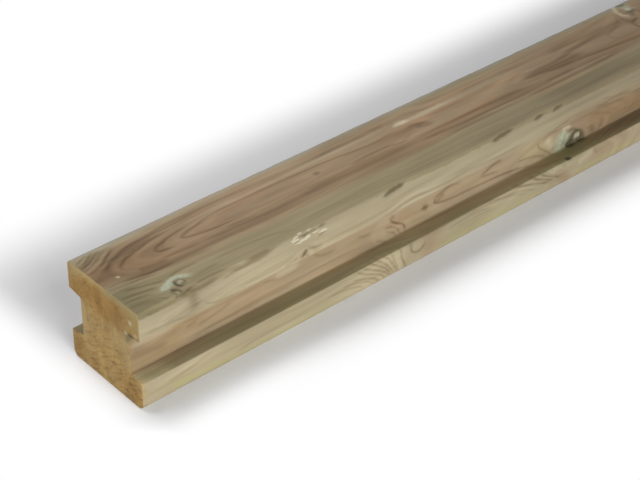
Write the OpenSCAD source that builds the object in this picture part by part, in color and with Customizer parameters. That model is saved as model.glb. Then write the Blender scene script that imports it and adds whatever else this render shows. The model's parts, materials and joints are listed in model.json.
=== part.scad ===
// Slotted fence post of treated softwood, lying on its side.
// One length of moulded stock: a square section with rounded long arrises and a board groove
// down each of two opposite sides. It lies along X on the ground plane, with the grooves
// facing -Y and +Y, and its origin is the middle of its underside.

/* [Post] */
// Length of the post as sold
length = 1800; // [600:10:3600]
// Width across the two grooved sides
width = 90; // [80:1:140]
// Height between the two plain sides
height = 90; // [80:1:140]
// Radius of the two long arrises of the upper side
top_arris_r = 3.5; // [1:0.25:6]
// Radius of the two long arrises of the underside
base_arris_r = 5.5; // [1:0.25:6]

/* [Board grooves] */
// Depth of each groove, from the outer face to its root
groove_depth = 15; // [6:0.5:24]
// Opening of each groove at the outer face
groove_mouth = 40; // [20:0.5:56]
// How far each flank closes in between the mouth and the root
flank_draft = 2; // [0:0.25:4]
// Radius of the eased lips at the mouth
lip_r = 1; // [0.25:0.25:2.5]
// Radius left by the cutter in the corners of the root
root_r = 1; // [0.25:0.25:3]

/* [Hidden] */
$fn = 64;

timber_colour = [0.68, 0.60, 0.42];

half_w = width / 2;
half_h = height / 2;
half_mouth = groove_mouth / 2;
half_root = half_mouth - flank_draft;
web_half = half_w - groove_depth;

// Distance that a groove cutter reaches beyond the outer face, so that it cuts clean through.
overcut = 1;
// Each round is set this far towards its corner, so that it crosses the two faces cleanly
// where it would otherwise only graze them.
bite = 0.0005;

// A vector scaled to length 1.
function unit(v) = v / norm(v);

// What a rounding cutter of radius r takes off a convex corner.
// The corner is at `corner`, and its two sides leave it towards `a` and `b`. The waste is a
// kite around the corner, opened along the two radii that meet the sides squarely,
// less the round itself.
module corner_waste(corner, a, b, r) {
    to_a = unit(a - corner);
    to_b = unit(b - corner);
    half_angle = acos(to_a * to_b) / 2;
    reach = r / tan(half_angle);
    centre = corner + unit(to_a + to_b) * (r / sin(half_angle) - bite);
    beyond_a = 2 * (corner + to_a * reach) - centre;
    beyond_b = 2 * (corner + to_b * reach) - centre;
    beyond_corner = 2 * corner - centre;
    difference() {
        polygon([centre, beyond_a, beyond_corner, beyond_b]);
        translate(centre) circle(r);
    }
}

// What the groove cutter takes out of the +Y side: a trapezoid that narrows from the mouth
// to the root, with its two root corners rounded.
module groove_cut() {
    flare = flank_draft / groove_depth * overcut;
    difference() {
        polygon([
            [web_half, -half_root],
            [half_w + overcut, -half_mouth - flare],
            [half_w + overcut, half_mouth + flare],
            [web_half, half_root]
        ]);
        for (sz = [-1, 1])
            corner_waste([web_half, sz * half_root], [half_w, sz * half_mouth],
                         [web_half, 0], root_r);
    }
}

// The +Y side's corners: the two long arrises and the two lips of the groove.
module side_rounds() {
    corner_waste([half_w, half_h], [half_w, 0], [0, half_h], top_arris_r);
    corner_waste([half_w, -half_h], [half_w, 0], [0, -half_h], base_arris_r);
    for (sz = [-1, 1])
        corner_waste([half_w, sz * half_mouth], [half_w, sz * half_h],
                     [web_half, sz * half_root], lip_r);
}

// The moulded section, the same on both sides.
module section() {
    difference() {
        square([width, height], center = true);
        for (side = [0, 1])
            mirror([side, 0]) {
                groove_cut();
                side_rounds();
            }
    }
}

// The whole post: the section carried along its length.
module post() {
    color(timber_colour)
        translate([-length / 2, 0, half_h])
            rotate([90, 0, 90])
                linear_extrude(length)
                    section();
}

post();
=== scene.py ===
# %% [markdown]
# # A slotted post of treated softwood
# The post is one stick of sawn and planed pine, about 90 mm square, with a groove for fence
# boards along the front and another along the back. It was pressed full of a green preservative
# after it was cut. The pale outer wood drank it and turned khaki; the pinkish heartwood hardly
# took any. The looks of the post are nearly all grain, so most cells below grow the tree that
# the stick was cut from, and then read that tree's rings on the faces of the stick.
#
# Everything is worked out in numpy and handed to Blender in one go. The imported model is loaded
# first, because it fixes where the post lies: its length runs along X, it stands on z = 0.

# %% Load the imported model
import json
import math

import bpy
import numpy as np
from mathutils import Euler, Matrix, Vector


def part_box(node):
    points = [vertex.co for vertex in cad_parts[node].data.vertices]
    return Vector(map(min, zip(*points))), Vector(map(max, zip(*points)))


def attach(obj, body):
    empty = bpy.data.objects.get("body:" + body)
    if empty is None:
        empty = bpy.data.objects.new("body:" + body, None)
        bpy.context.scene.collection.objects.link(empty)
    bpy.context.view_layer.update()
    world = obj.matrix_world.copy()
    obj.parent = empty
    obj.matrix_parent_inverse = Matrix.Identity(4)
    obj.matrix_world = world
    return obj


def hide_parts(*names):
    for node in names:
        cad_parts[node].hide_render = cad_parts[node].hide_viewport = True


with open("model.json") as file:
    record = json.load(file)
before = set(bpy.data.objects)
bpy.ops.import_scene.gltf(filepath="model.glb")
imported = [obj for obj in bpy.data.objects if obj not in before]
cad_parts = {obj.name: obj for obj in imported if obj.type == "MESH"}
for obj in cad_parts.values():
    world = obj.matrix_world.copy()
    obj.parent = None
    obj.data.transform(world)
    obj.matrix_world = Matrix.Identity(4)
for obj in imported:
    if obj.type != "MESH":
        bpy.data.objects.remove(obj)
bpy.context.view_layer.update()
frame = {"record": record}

MM = 0.001
post_low, post_high = [np.array(corner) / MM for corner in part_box("post")]
post_length, post_width, post_height = post_high - post_low
mounts = {mount["name"]: np.array(mount["pos_m"]) / MM for mount in frame["record"]["mounts"]}
print("post, mm:", post_length.round(2), post_width.round(2), post_height.round(2))

# %% [markdown]
# ## The camera
# The post is seen from above its near left end with a long lens, which keeps its edges almost
# parallel. A camera can be placed with a Track To constraint; here it is given a place and three
# plain turns (heading, tilt and a small roll), which are the three screws of a tripod's head, and
# nothing else in the scene has to move for them.

# %% Camera
NEAR_END = post_low[0]                        # x of the end that faces the camera
CAMERA_FROM_END = (-538.9, -844.5, 843.2)     # from the near end's bottom middle, mm
CAMERA_HEADING = 48.247                       # degrees from +X towards +Y
CAMERA_TILT = 35.615                          # degrees down
CAMERA_ROLL = 0.59
CAMERA_LENS = 95.56                           # mm
SENSOR_WIDTH = 36.0                           # mm
NEAREST, FURTHEST = 0.05, 60.0                # m, what the camera sees at all

camera_data = bpy.data.cameras.new("camera")
camera_data.lens = CAMERA_LENS
camera_data.sensor_width = SENSOR_WIDTH
camera_data.sensor_fit = "HORIZONTAL"
camera_data.clip_start = NEAREST
camera_data.clip_end = FURTHEST
camera = bpy.data.objects.new("camera", camera_data)
camera_place = np.array(CAMERA_FROM_END) + (NEAR_END, 0.0, 0.0)
camera_turn = Euler((math.radians(90.0 - CAMERA_TILT), 0.0, math.radians(CAMERA_HEADING - 90.0)))
camera.matrix_world = (
    Matrix.Translation(Vector(camera_place * MM))
    @ camera_turn.to_matrix().to_4x4()
    @ Matrix.Rotation(math.radians(CAMERA_ROLL), 4, "Z")
)
bpy.context.collection.objects.link(camera)
bpy.context.scene.camera = camera
print("camera at, m:", [round(value, 3) for value in camera.location])

# %% [markdown]
# ## The outline of the stick
# A planing machine gives every metre of the post the same outline: two grooved sides with
# slightly sloping flanks, small rounded lips, and four eased corners, rounder below than above.
# It could be drawn as a curve and bevelled. A list of corners with a radius each is easier to
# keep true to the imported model, because every number is a size of the real section. The points
# lie close together on the faces that are looked at from near by, and wider below and behind.

# %% Outline points
def rounded_outline(corners, radii, steps, arc_points):
    """Walks round a polygon and swaps each corner for an arc of its own radius.

    An arc touches both sides at radius * tan(half the turn) from the corner. Between two arcs
    the side is divided evenly, in pieces no longer than that side's step.
    """
    corners = np.array(corners, float)
    before = corners - np.roll(corners, 1, axis=0)
    after = np.roll(corners, -1, axis=0) - corners
    before /= np.linalg.norm(before, axis=1, keepdims=True)
    after /= np.linalg.norm(after, axis=1, keepdims=True)
    turn = np.arctan2(
        before[:, 0] * after[:, 1] - before[:, 1] * after[:, 0], (before * after).sum(axis=1)
    )
    reach = np.array(radii) * np.tan(np.abs(turn) / 2)
    starts = corners - before * reach[:, None]
    ends = corners + after * reach[:, None]
    pieces = []
    for place, radius in enumerate(radii):
        inward = np.sign(turn[place]) * np.array([-before[place, 1], before[place, 0]])
        centre = starts[place] + inward * radius
        angles = np.linspace(0.0, turn[place], arc_points[place])
        arm = starts[place] - centre
        arc = np.stack(
            [
                arm[0] * np.cos(angles) - arm[1] * np.sin(angles),
                arm[0] * np.sin(angles) + arm[1] * np.cos(angles),
            ],
            axis=1,
        )
        pieces.append(centre + arc)
        following = starts[(place + 1) % len(corners)]
        run = np.linalg.norm(following - ends[place])
        count = max(1, math.ceil(run / steps[place]))
        shares = np.arange(1, count)[:, None] / count
        pieces.append(ends[place] + (following - ends[place]) * shares)
    return np.concatenate(pieces)


HALF_WIDTH = post_width / 2
GROOVE_ROOT = mounts["back_groove_root"][1]   # how far the groove floor lies from the middle
GROOVE_MIDDLE = mounts["back_groove_root"][2]
HALF_MOUTH = 20.0                             # half the groove's opening at the outer face
HALF_ROOT = 18.0                              # and at its floor
TOP_ARRIS = 3.5                               # radii of the two upper corners,
BASE_ARRIS = 5.5                              # of the two lower ones,
LIP = 1.0                                     # of the groove's lips
ROOT = 1.0                                    # and of the corners of its floor
FINE_STEP = 1.3                               # between points on the top and the front,
BACK_STEP = 3.2                               # on the back
BASE_STEP = 8.0                               # and underneath

mouth_low, mouth_high = GROOVE_MIDDLE - HALF_MOUTH, GROOVE_MIDDLE + HALF_MOUTH
root_low, root_high = GROOVE_MIDDLE - HALF_ROOT, GROOVE_MIDDLE + HALF_ROOT
# each corner of the section, its radius, the step along the side after it, points on its arc
CORNERS = [
    ((-HALF_WIDTH, 0.0), BASE_ARRIS, BASE_STEP, 6),
    ((HALF_WIDTH, 0.0), BASE_ARRIS, BACK_STEP, 5),
    ((HALF_WIDTH, mouth_low), LIP, BACK_STEP, 3),
    ((GROOVE_ROOT, root_low), ROOT, BACK_STEP, 3),
    ((GROOVE_ROOT, root_high), ROOT, BACK_STEP, 3),
    ((HALF_WIDTH, mouth_high), LIP, BACK_STEP, 3),
    ((HALF_WIDTH, post_height), TOP_ARRIS, FINE_STEP, 5),
    ((-HALF_WIDTH, post_height), TOP_ARRIS, FINE_STEP, 7),
    ((-HALF_WIDTH, mouth_high), LIP, 2 * FINE_STEP, 4),
    ((-GROOVE_ROOT, root_high), ROOT, FINE_STEP, 3),
    ((-GROOVE_ROOT, root_low), ROOT, 2 * FINE_STEP, 3),
    ((-HALF_WIDTH, mouth_low), LIP, FINE_STEP, 4),
]
# the last digit of a sine or tangent may vary from run to run, so it is rounded away
outline = rounded_outline(*zip(*CORNERS)).round(9)
print("outline points:", len(outline))

# %% [markdown]
# ## The skin of the stick
# The whole post is one grid: rows along the length, columns round the outline. At each end the
# rows go on inwards over the sawn face, as smaller and smaller outlines, towards a narrow upright
# strip in its middle, so that there is no seam between side and end. A row every millimetre all
# the way would be far too many, so rows are close where knots and torn places are, and wide apart
# in the plain stretches.

# %% Rows and columns
def spaced(stops):
    """Rows between each pair of stops, evenly divided by that stretch's step."""
    runs = []
    for (start, _), (end, step) in zip(stops[:-1], stops[1:]):
        runs.append(np.linspace(start, end, max(2, math.ceil((end - start) / step) + 1))[:-1])
    return np.concatenate(runs + [np.array([stops[-1][0]])])


RIM = 0.5                                     # the sides stop this far short of the sawn ends
STRIP_SHARE = 0.9                             # height of the strip in the middle of an end
SMALLEST_RING = 0.02                          # size of the last outline round the strip
NEAR_RING_COUNT, FAR_RING_COUNT = 34, 12
# the end of each stretch along the post, and how far apart its rows are
STATIONS = spaced(
    [
        (RIM, 0), (24, 1.5), (34, 1.6), (58, 1.1), (140, 2.0), (180, 1.5), (214, 2.4), (312, 1.7),
        (440, 2.3), (505, 1.4), (606, 2.4), (640, 2.2), (900, 13.0), (1790, 22.0),
        (post_length - RIM, 5.0),
    ]
)
LARGEST_RING = 1.0 - RIM / HALF_WIDTH
NEAR_RINGS = np.linspace(SMALLEST_RING, LARGEST_RING, NEAR_RING_COUNT)
FAR_RINGS = np.linspace(LARGEST_RING, SMALLEST_RING, FAR_RING_COUNT)

strip_height = GROOVE_MIDDLE + (outline[:, 1] - GROOVE_MIDDLE) * STRIP_SHARE
strip = np.stack([np.zeros(len(outline)), strip_height], axis=1)
row_x = np.concatenate([NEAR_RINGS * 0.0, STATIONS, FAR_RINGS * 0.0 + post_length])
row_size = np.concatenate([NEAR_RINGS, STATIONS * 0.0 + 1.0, FAR_RINGS])
section = strip[None] + (outline - strip)[None] * row_size[:, None, None]
# every point of the skin: how far along the post, how far across it and how high, in mm
along = np.repeat(row_x[:, None], len(outline), axis=1)
across = section[..., 0]
height = section[..., 1]
on_end = np.repeat((row_size < 1.0)[:, None], len(outline), axis=1)
tangent = np.roll(outline, -1, axis=0) - np.roll(outline, 1, axis=0)
tangent /= np.linalg.norm(tangent, axis=1, keepdims=True)
outward = np.stack([tangent[:, 1], -tangent[:, 0]], axis=1)
print("grid:", along.shape, "triangles:", 2 * (along.shape[0] - 1) * along.shape[1])

# %% [markdown]
# ## Growing the tree
# A tree adds one ring a year round its pith. If the distance from the pith is known everywhere
# in the stick, the rings are the places where that distance passes whole years, and every face
# shows them correctly by itself: straight lines where the cut runs along them, long loops where
# the cut grazes them, circles on the ends. A texture wrapped round the post could not turn a
# corner like that. The pith lies near the middle of the stick, a little to the back.
#
# Real stems are not cylinders. They swell at knots and shrink between them, so the distance is
# corrected by four gentle curves along the length, one for each side, and by local swellings. In
# two stretches of the front the rings also plunge towards the base faster than any of these allow,
# and there whole years are taken off.

# %% Distance from the pith
def smooth_curve(places, points):
    """A smooth line through (place, value) points: a cubic between each two, matching slopes."""
    points = np.array(points, float)
    first = np.clip(np.searchsorted(points[:, 0], places) - 1, 0, len(points) - 2)
    slopes = np.gradient(points[:, 1], points[:, 0])
    x0, y0, m0 = points[first, 0], points[first, 1], slopes[first]
    x1, y1, m1 = points[first + 1, 0], points[first + 1, 1], slopes[first + 1]
    run = x1 - x0
    t = np.clip((places - x0) / run, 0.0, 1.0)
    rise = y0 * (1 + 2 * t) * (1 - t) ** 2 + y1 * t * t * (3 - 2 * t)
    return rise + m0 * run * t * (1 - t) ** 2 + m1 * run * t * t * (t - 1)


def smooth_waves(x, y, z, seed, size, amount, count=10):
    """A sum of sine waves in random directions, about `size` millimetres long each way."""
    chance = np.random.default_rng(seed)
    total = 0.0
    for _ in range(count):
        pitch = 2 * np.pi * chance.normal(0, 1, 3) / np.array(size)
        total = total + np.sin(pitch[0] * x + pitch[1] * y + pitch[2] * z + chance.uniform(0, 6.28))
    return total * amount / math.sqrt(count / 2)


def soft_step(value, start, end):
    """Zero before the start, one after the end, and a smooth cubic between."""
    t = np.clip((value - start) / (end - start), 0.0, 1.0)
    return t * t * (3 - 2 * t)


def bell(x, y, z, centre, near, far, round_about):
    """One at the centre, fading as exp(-distance squared), the distance counted in reaches.

    Along X the reach may differ towards the near end and the far one.
    """
    reach = np.where(x < centre[0], near, far)
    flat = ((y - centre[1]) ** 2 + (z - centre[2]) ** 2) / round_about**2
    return np.exp(-(((x - centre[0]) / reach) ** 2) - flat)


# each curve is a list of (place along the post, value in mm)
PITH_ACROSS = [(-20, 12), (155, 11.5), (300, 8.5), (400, 8), (480, 5), (540, 5), (610, 7),
               (700, 10), (1000, 9), (1300, 12), (1820, 10)]
PITH_HEIGHT = 45.0
TO_TOP = [(-20, 49.6), (0, 49.5), (10, 49.5), (22, 48.3), (38, 46.6), (55, 45.7), (80, 44.9),
          (105, 44.6), (130, 44.2), (155, 44.0), (185, 44.05), (220, 44.45), (260, 44.6),
          (295, 44.85), (325, 45.0), (338, 45.3), (348, 45.75), (400, 46.2), (435, 46.1),
          (452, 45.45), (480, 45.1), (520, 44.85), (560, 44.3), (605, 43.85), (640, 43.0),
          (700, 42.4), (760, 42.5), (900, 46), (1050, 47.5), (1200, 44), (1350, 46.5),
          (1500, 48), (1650, 45), (1820, 46)]
TO_FRONT = [(-20, 46.8), (100, 46.8), (200, 46.8), (245, 46.6), (262, 45.6), (275, 44.9),
            (290, 44.5), (305, 44.2), (315, 43.8), (340, 43.1), (360, 42.5), (370, 42.2),
            (390, 41.9), (420, 41.4), (443, 40.7), (460, 40.2), (485, 40.0), (520, 40.3),
            (560, 41), (640, 43), (760, 46), (900, 44), (1050, 41), (1200, 44.5), (1350, 46),
            (1500, 43), (1650, 45), (1820, 44)]
TO_BACK = [(-20, 20), (300, 21), (600, 19.5), (900, 22), (1200, 20), (1500, 21.5), (1820, 20)]
TO_BASE = [(-20, 45), (250, 44), (500, 46), (800, 44), (1100, 46), (1400, 44.5), (1820, 45.5)]

# centre, reach towards the near end, reach towards the far end, reach round about, and how much
# further from the pith the place seems
SWELLINGS = [
    ((-12, 48, 92), 42, 20, 30, 13.0),
    ((24, 40, 92), 25, 70, 30, 3.1),
    ((482, -42, 26), 62, 50, 24, -9.0),
    ((46, -28, 90), 12, 12, 11, -3.5),
    ((158, -45, 72), 12, 12, 9, -3.0),
    ((620, 30, 90), 16, 16, 13, -6.0),
    ((930, -45, 76), 24, 24, 16, -7.0),
    ((1180, 12, 90), 30, 26, 16, -7.0),
    ((1420, -45, 12), 24, 28, 16, -8.0),
    ((340, 45, 78), 26, 22, 15, -7.0),
    ((760, 45, 14), 24, 26, 15, -7.0),
    ((1260, 30, 45), 26, 26, 14, -7.0),
    ((420, 10, 0), 26, 30, 18, -8.0),
    ((1010, -14, 0), 30, 26, 18, -8.0),
    ((1560, 20, 0), 26, 26, 18, -7.0),
]
# where the distance from the pith passes so many years
GROWTH = [(0, 0), (12, 3.2), (30, 12), (41, 17.2), (43.2, 18.6), (45.35, 20), (46.5, 21),
          (48.75, 22), (52.3, 23.2), (56, 24.4), (60, 25.6), (66, 28.2), (72, 31.2), (85, 37),
          (110, 48)]
# twice the rings of the front plunge towards the base: from, to, and the share of the whole drop
PLUNGES = [(212.0, 290.0, 1.0), (385.0, 455.0, 0.4)]
PLUNGE_END = (475.0, 620.0)
# how many years the whole drop is at these heights
PLUNGE_YEARS = [(0, 9.5), (25, 3.0), (27, 2.4), (45, 0)]
# seed, length each way and size of the waves that make every ring a little uneven
RING_WAVES = [(3, (330, 60, 60), 0.12), (4, (70, 22, 22), 0.05)]
# the outermost rings wander more, from the first distance on and fully past the second
OUTER_WAVES = (5, (170, 45, 45), 0.8)
OUTER_FROM, OUTER_FULL = 50.0, 58.0
CORE_RADIUS = 30.0                            # nearer the pith than this, the curves fade out


def calm_distance(x, y, z):
    """The straight distance to the pith, plus each side's curve weighed by how much a point
    lies that way (the squares of sine and cosine add up to one).

    A curve gives the distance at which its face seems to lie, so the real distance is taken off.
    """
    pith = smooth_curve(x, PITH_ACROSS)
    side, up = y - pith, z - PITH_HEIGHT
    straight = np.sqrt(side**2 + up**2) + 1e-6
    lift, lean = up / straight, side / straight
    top = smooth_curve(x, TO_TOP) - (post_height - PITH_HEIGHT)
    base = smooth_curve(x, TO_BASE) - PITH_HEIGHT
    front = smooth_curve(x, TO_FRONT) - (GROOVE_ROOT + pith)
    back = smooth_curve(x, TO_BACK) - (GROOVE_ROOT - pith)
    upright = lift**2 * np.where(lift > 0, top, base)
    sideways = lean**2 * np.where(lean < 0, front, back)
    return straight + (upright + sideways) * np.clip(straight / CORE_RADIUS, 0.0, 1.0)


def pith_distance(x, y, z):
    """The calm distance with the swellings and the waves added."""
    distance = calm_distance(x, y, z)
    outer = np.clip((distance - OUTER_FROM) / (OUTER_FULL - OUTER_FROM), 0.0, 1.0)
    for *shape, shift in SWELLINGS:
        distance = distance + shift * bell(x, y, z, *shape)
    for setting in RING_WAVES:
        distance = distance + smooth_waves(x, y, z, *setting)
    return distance + outer * smooth_waves(x, y, z, *OUTER_WAVES)


distance = pith_distance(along, across, height)
years = np.interp(distance, *np.array(GROWTH).T)
plunge = sum(soft_step(along, start, end) * share for start, end, share in PLUNGES)
plunge = plunge * (1 - soft_step(along, *PLUNGE_END)) * soft_step(-across, 20.0, 29.0)
years = years - plunge * np.interp(height, *np.array(PLUNGE_YEARS).T)
print("rings on the skin:", years.min().round(1), "to", years.max().round(1))

# %% [markdown]
# ## Heartwood, sapwood and what the preservative did
# The line between heartwood and sapwood follows a ring, so it comes from the same distance, only
# without the swellings, because colour cares less about knots than the rings do. In a few places
# of the sapwood the colour has run brown. The top of the post has gone more olive than the freshly
# planed front, and the olive stops along the front corner in an uneven edge. These are broad
# tints, so they are worked out once for each point of the skin and stored there, where the
# material can read them.

# %% Heartwood and olive
HEART_RADIUS = 53.5                           # mm from the pith
HEART_EDGE = 1.1                              # how softly the heartwood ends, mm
HEART_WAVES = (11, (150, 26, 26), 0.8)
WIDER_PLACE, WIDER = ((120, -14, 90), 70, 75, 9), 1.3
PALER_WEB = 0.35                              # the front web is less pink by this share,
PALER_UNTIL = (440, 520)                      # up to here
WEB_BLUR = (1.0, 4.0)
# brown patches in the sapwood: centre, near, far and round reach, strength
BROWN_PATCHES = [
    ((297, -45, 12), 9, 16, 16, 0.75),
    ((520, -45, 18), 30, 60, 16, 0.55),
    ((480, -45, 64), 22, 70, 9, 0.75),
]
# how far past the front top corner the olive runs: over the corner where negative, in mm
OLIVE_EDGE = [
    (-20, -4.0), (58, -3.8), (68, -2.6), (84, -2.6), (95, -3.8), (118, -3.8), (127, -1.2),
    (145, 1.0), (170, 0.9), (200, 1.0), (240, 0.4), (270, -1.4), (295, -2.9), (310, -3.9),
    (330, -2.8), (360, -2.4), (400, -2.6), (440, -3.1), (470, -4.3), (500, -4.8), (560, -5.0),
    (640, -3.6), (900, -1.0), (1820, -1.0),
]
OLIVE_WAVES = (12, (11, 30, 30), 0.35)
OLIVE_BLUR = 0.7                              # mm to each side of that edge
OLIVE_LOWEST = (6.0, 5.0)                     # the olive fades out this far below the top
OLIVE_BACK = (2.4, 0.8)                       # and this far below it at the back corner


def bells(shape, share=1.0):
    """A bell over the whole skin, times a share."""
    return share * bell(along, across, height, *shape)


def waves(seed, size, amount, count=10):
    """Smooth waves over the whole skin."""
    return smooth_waves(along, across, height, seed, size, amount, count)


boundary = calm_distance(along, across, height) + waves(*HEART_WAVES) - HEART_RADIUS
boundary = boundary - bells(WIDER_PLACE, WIDER)
heart = 1.0 / (1.0 + np.exp(boundary / HEART_EDGE))
on_front_web = (1 - on_end) * (1 - soft_step(np.abs(across + GROOVE_ROOT), *WEB_BLUR))
heart = heart * (1 - on_front_web * PALER_WEB * (1 - soft_step(along, *PALER_UNTIL)))
for *shape, strength in BROWN_PATCHES:
    heart = np.maximum(heart, bells(shape, strength))

from_front = across + HALF_WIDTH              # depth behind the front face, mm
from_top = post_height - height               # depth below the top face, mm
round_corner = from_front - from_top          # along the skin from the front top corner, mm
olive_start = smooth_curve(along, OLIVE_EDGE) + waves(*OLIVE_WAVES)
on_top = soft_step(round_corner, olive_start - OLIVE_BLUR, olive_start + OLIVE_BLUR)
on_top = on_top * soft_step(-from_top, *np.negative(OLIVE_LOWEST))
on_top = np.where(across > 0, soft_step(-from_top, *np.negative(OLIVE_BACK)), on_top)
print("share of heartwood on the skin:", (heart > 0.5).mean().round(2))

# %% [markdown]
# ## The sawn ends
# End grain is a bundle of open straws, so it drinks the most preservative and turns golden. The
# gold creeps a little way along the sides. On the end itself the colour is anything but even: a
# rusty patch lies under the top, the low corners are dark, and the end is paler along its top,
# front and groove edges and in a few patches. All of these are bells with a centre on the end.

# %% Tints of the ends
CREEP = 1.0                                   # how far the gold creeps along the sides, mm,
CREEP_FADE = 4.0                              # how long it takes to fade out,
CREEP_SHARE = 0.4                             # how strong it is there
CREEP_HEIGHT = 62                             # and the height above which there is none
CREEP_WAVES = (13, (60, 14, 14), 1.0)
ANY_WAY = 9                                   # reach along the post of a patch on the end
# place across and up, reach round about, strength
RUSTY_PATCHES = [(-13, 73, 13, 0.9), (8, 74, 11, 1.2), (32, 73, 8, 1.1)]
DARK_CORNERS = [(-33, 10, 12, 1.0), (39, 12, 11, 0.8)]
OLIVE_CORNER = [(-42, 84, 15, 0.75)]
SMOOTH_PATCH = [(-13, 73, 10, 0.75)]          # where the end has less speckle
PALE_PATCHES = [(-17, 52, 12, 0.55), (38, 86, 9, 0.7), (21, 46, 9, 0.4)]


def end_patches(patches):
    """The sum of round patches on the near end."""
    return sum(
        bells(((0, middle, up), ANY_WAY, ANY_WAY, reach), strength)
        for middle, up, reach, strength in patches
    )


creep = CREEP + waves(*CREEP_WAVES)
creeping = CREEP_SHARE * (1 - soft_step(along, creep, creep + CREEP_FADE))
creeping = creeping * (across < 0) * (height < CREEP_HEIGHT)
golden = np.maximum(on_end, creeping)
olive = np.maximum(on_top, end_patches(OLIVE_CORNER) * on_end)
rusty = end_patches(RUSTY_PATCHES)
low_corner = end_patches(DARK_CORNERS)
speckled = 1 - end_patches(SMOOTH_PATCH)
print("golden points:", int((golden > 0.5).sum()))

# %% [markdown]
# ## Lines that the rings alone do not give
# Round knots and old wounds the rings crowd, hook and loop in ways that no gentle swelling makes.
# There the lines are drawn one by one, as a cabinet maker pencils grain on a repair: each stroke is
# a smooth curve through a few points, given along the post and across its face, with a width and
# a strength. A point of the skin takes the strength of the stroke if it lies within the width.
#
# Every kind of mark has a canvas of its own. Most strokes are dark grain lines ("line"); "pale" is
# the light wood between them, "warm" a brownish cast and "yellow" a greenish yellow one, "brown"
# is stained wood, and "mint", "core" and "eye" are the three parts of a knot.

# %% The pencil
STRETCH = 0.7                                 # a stroke is measured at points this far apart, mm
WIDTHS_LOOKED_AT = 2.6                        # beyond so many half widths a stroke is nothing
FADE_IN = (-0.06, 0.14)                       # shares of the stroke's length
FADE_OUT = (0.78, 1.06)

front_face = across < TOP_ARRIS - HALF_WIDTH
# where each face is, and how far down it (or over it, from the middle to the front) a point lies
FACES = {
    "top": (from_top < 1.2, -across),
    "flange": (front_face & (height > mouth_high - LIP), from_top),
    "web": (np.abs(across + GROOVE_ROOT) < ROOT, from_top),
    "lower": (front_face & (height < mouth_low + LIP), mouth_low - height),
}
CANVASES = ("line", "pale", "mint", "core", "eye", "brown", "warm", "yellow")
canvases = {name: np.zeros_like(along) for name in CANVASES}


def trace(canvas, face, strength, half_width, places):
    """Marks a canvas near a smooth curve through (along, beside) places: full strength on it,
    fading as exp(-(distance / half width) squared), and softly towards both of its ends."""
    inside, beside = FACES[face]
    places = np.array(places, float)
    lengths = np.linalg.norm(np.diff(places, axis=0), axis=1)
    gone = np.concatenate([[0.0], np.cumsum(lengths)])
    steps = np.linspace(0, gone[-1], max(8, math.ceil(gone[-1] / STRETCH)))
    line_x = smooth_curve(steps, np.column_stack([gone, places[:, 0]]))
    line_y = smooth_curve(steps, np.column_stack([gone, places[:, 1]]))
    margin = WIDTHS_LOOKED_AT * half_width
    near = inside & (along > line_x.min() - margin) & (along < line_x.max() + margin)
    near = near & (beside > line_y.min() - margin) & (beside < line_y.max() + margin)
    gap = np.hypot(along[near][:, None] - line_x, beside[near][:, None] - line_y)
    share = gap.argmin(axis=1) / (len(steps) - 1)
    fade = soft_step(share, *FADE_IN) * (1 - soft_step(share, *FADE_OUT))
    mark = strength * fade * np.exp(-((gap.min(axis=1) / half_width) ** 2))
    canvas[near] = np.maximum(canvas[near], mark)


def draw(face, strokes):
    """Traces every stroke of a face: its canvas, strength, half width and places."""
    for canvas_name, strength, half_width, places in strokes:
        trace(canvases[canvas_name], face, strength, half_width, places)
    print(face + ":", len(strokes), "strokes")


print("canvases:", ", ".join(CANVASES))

# %% [markdown]
# ## The grain of the top
# The top is cut nearly along the rings, so a small swelling of the stem shows there as a long
# loop. The near end has a fan of rings that run out over the saw cut, then three loops one in the
# other; in the middle lies a broad brown band, and further on a hook and a dark tongue.

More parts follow.
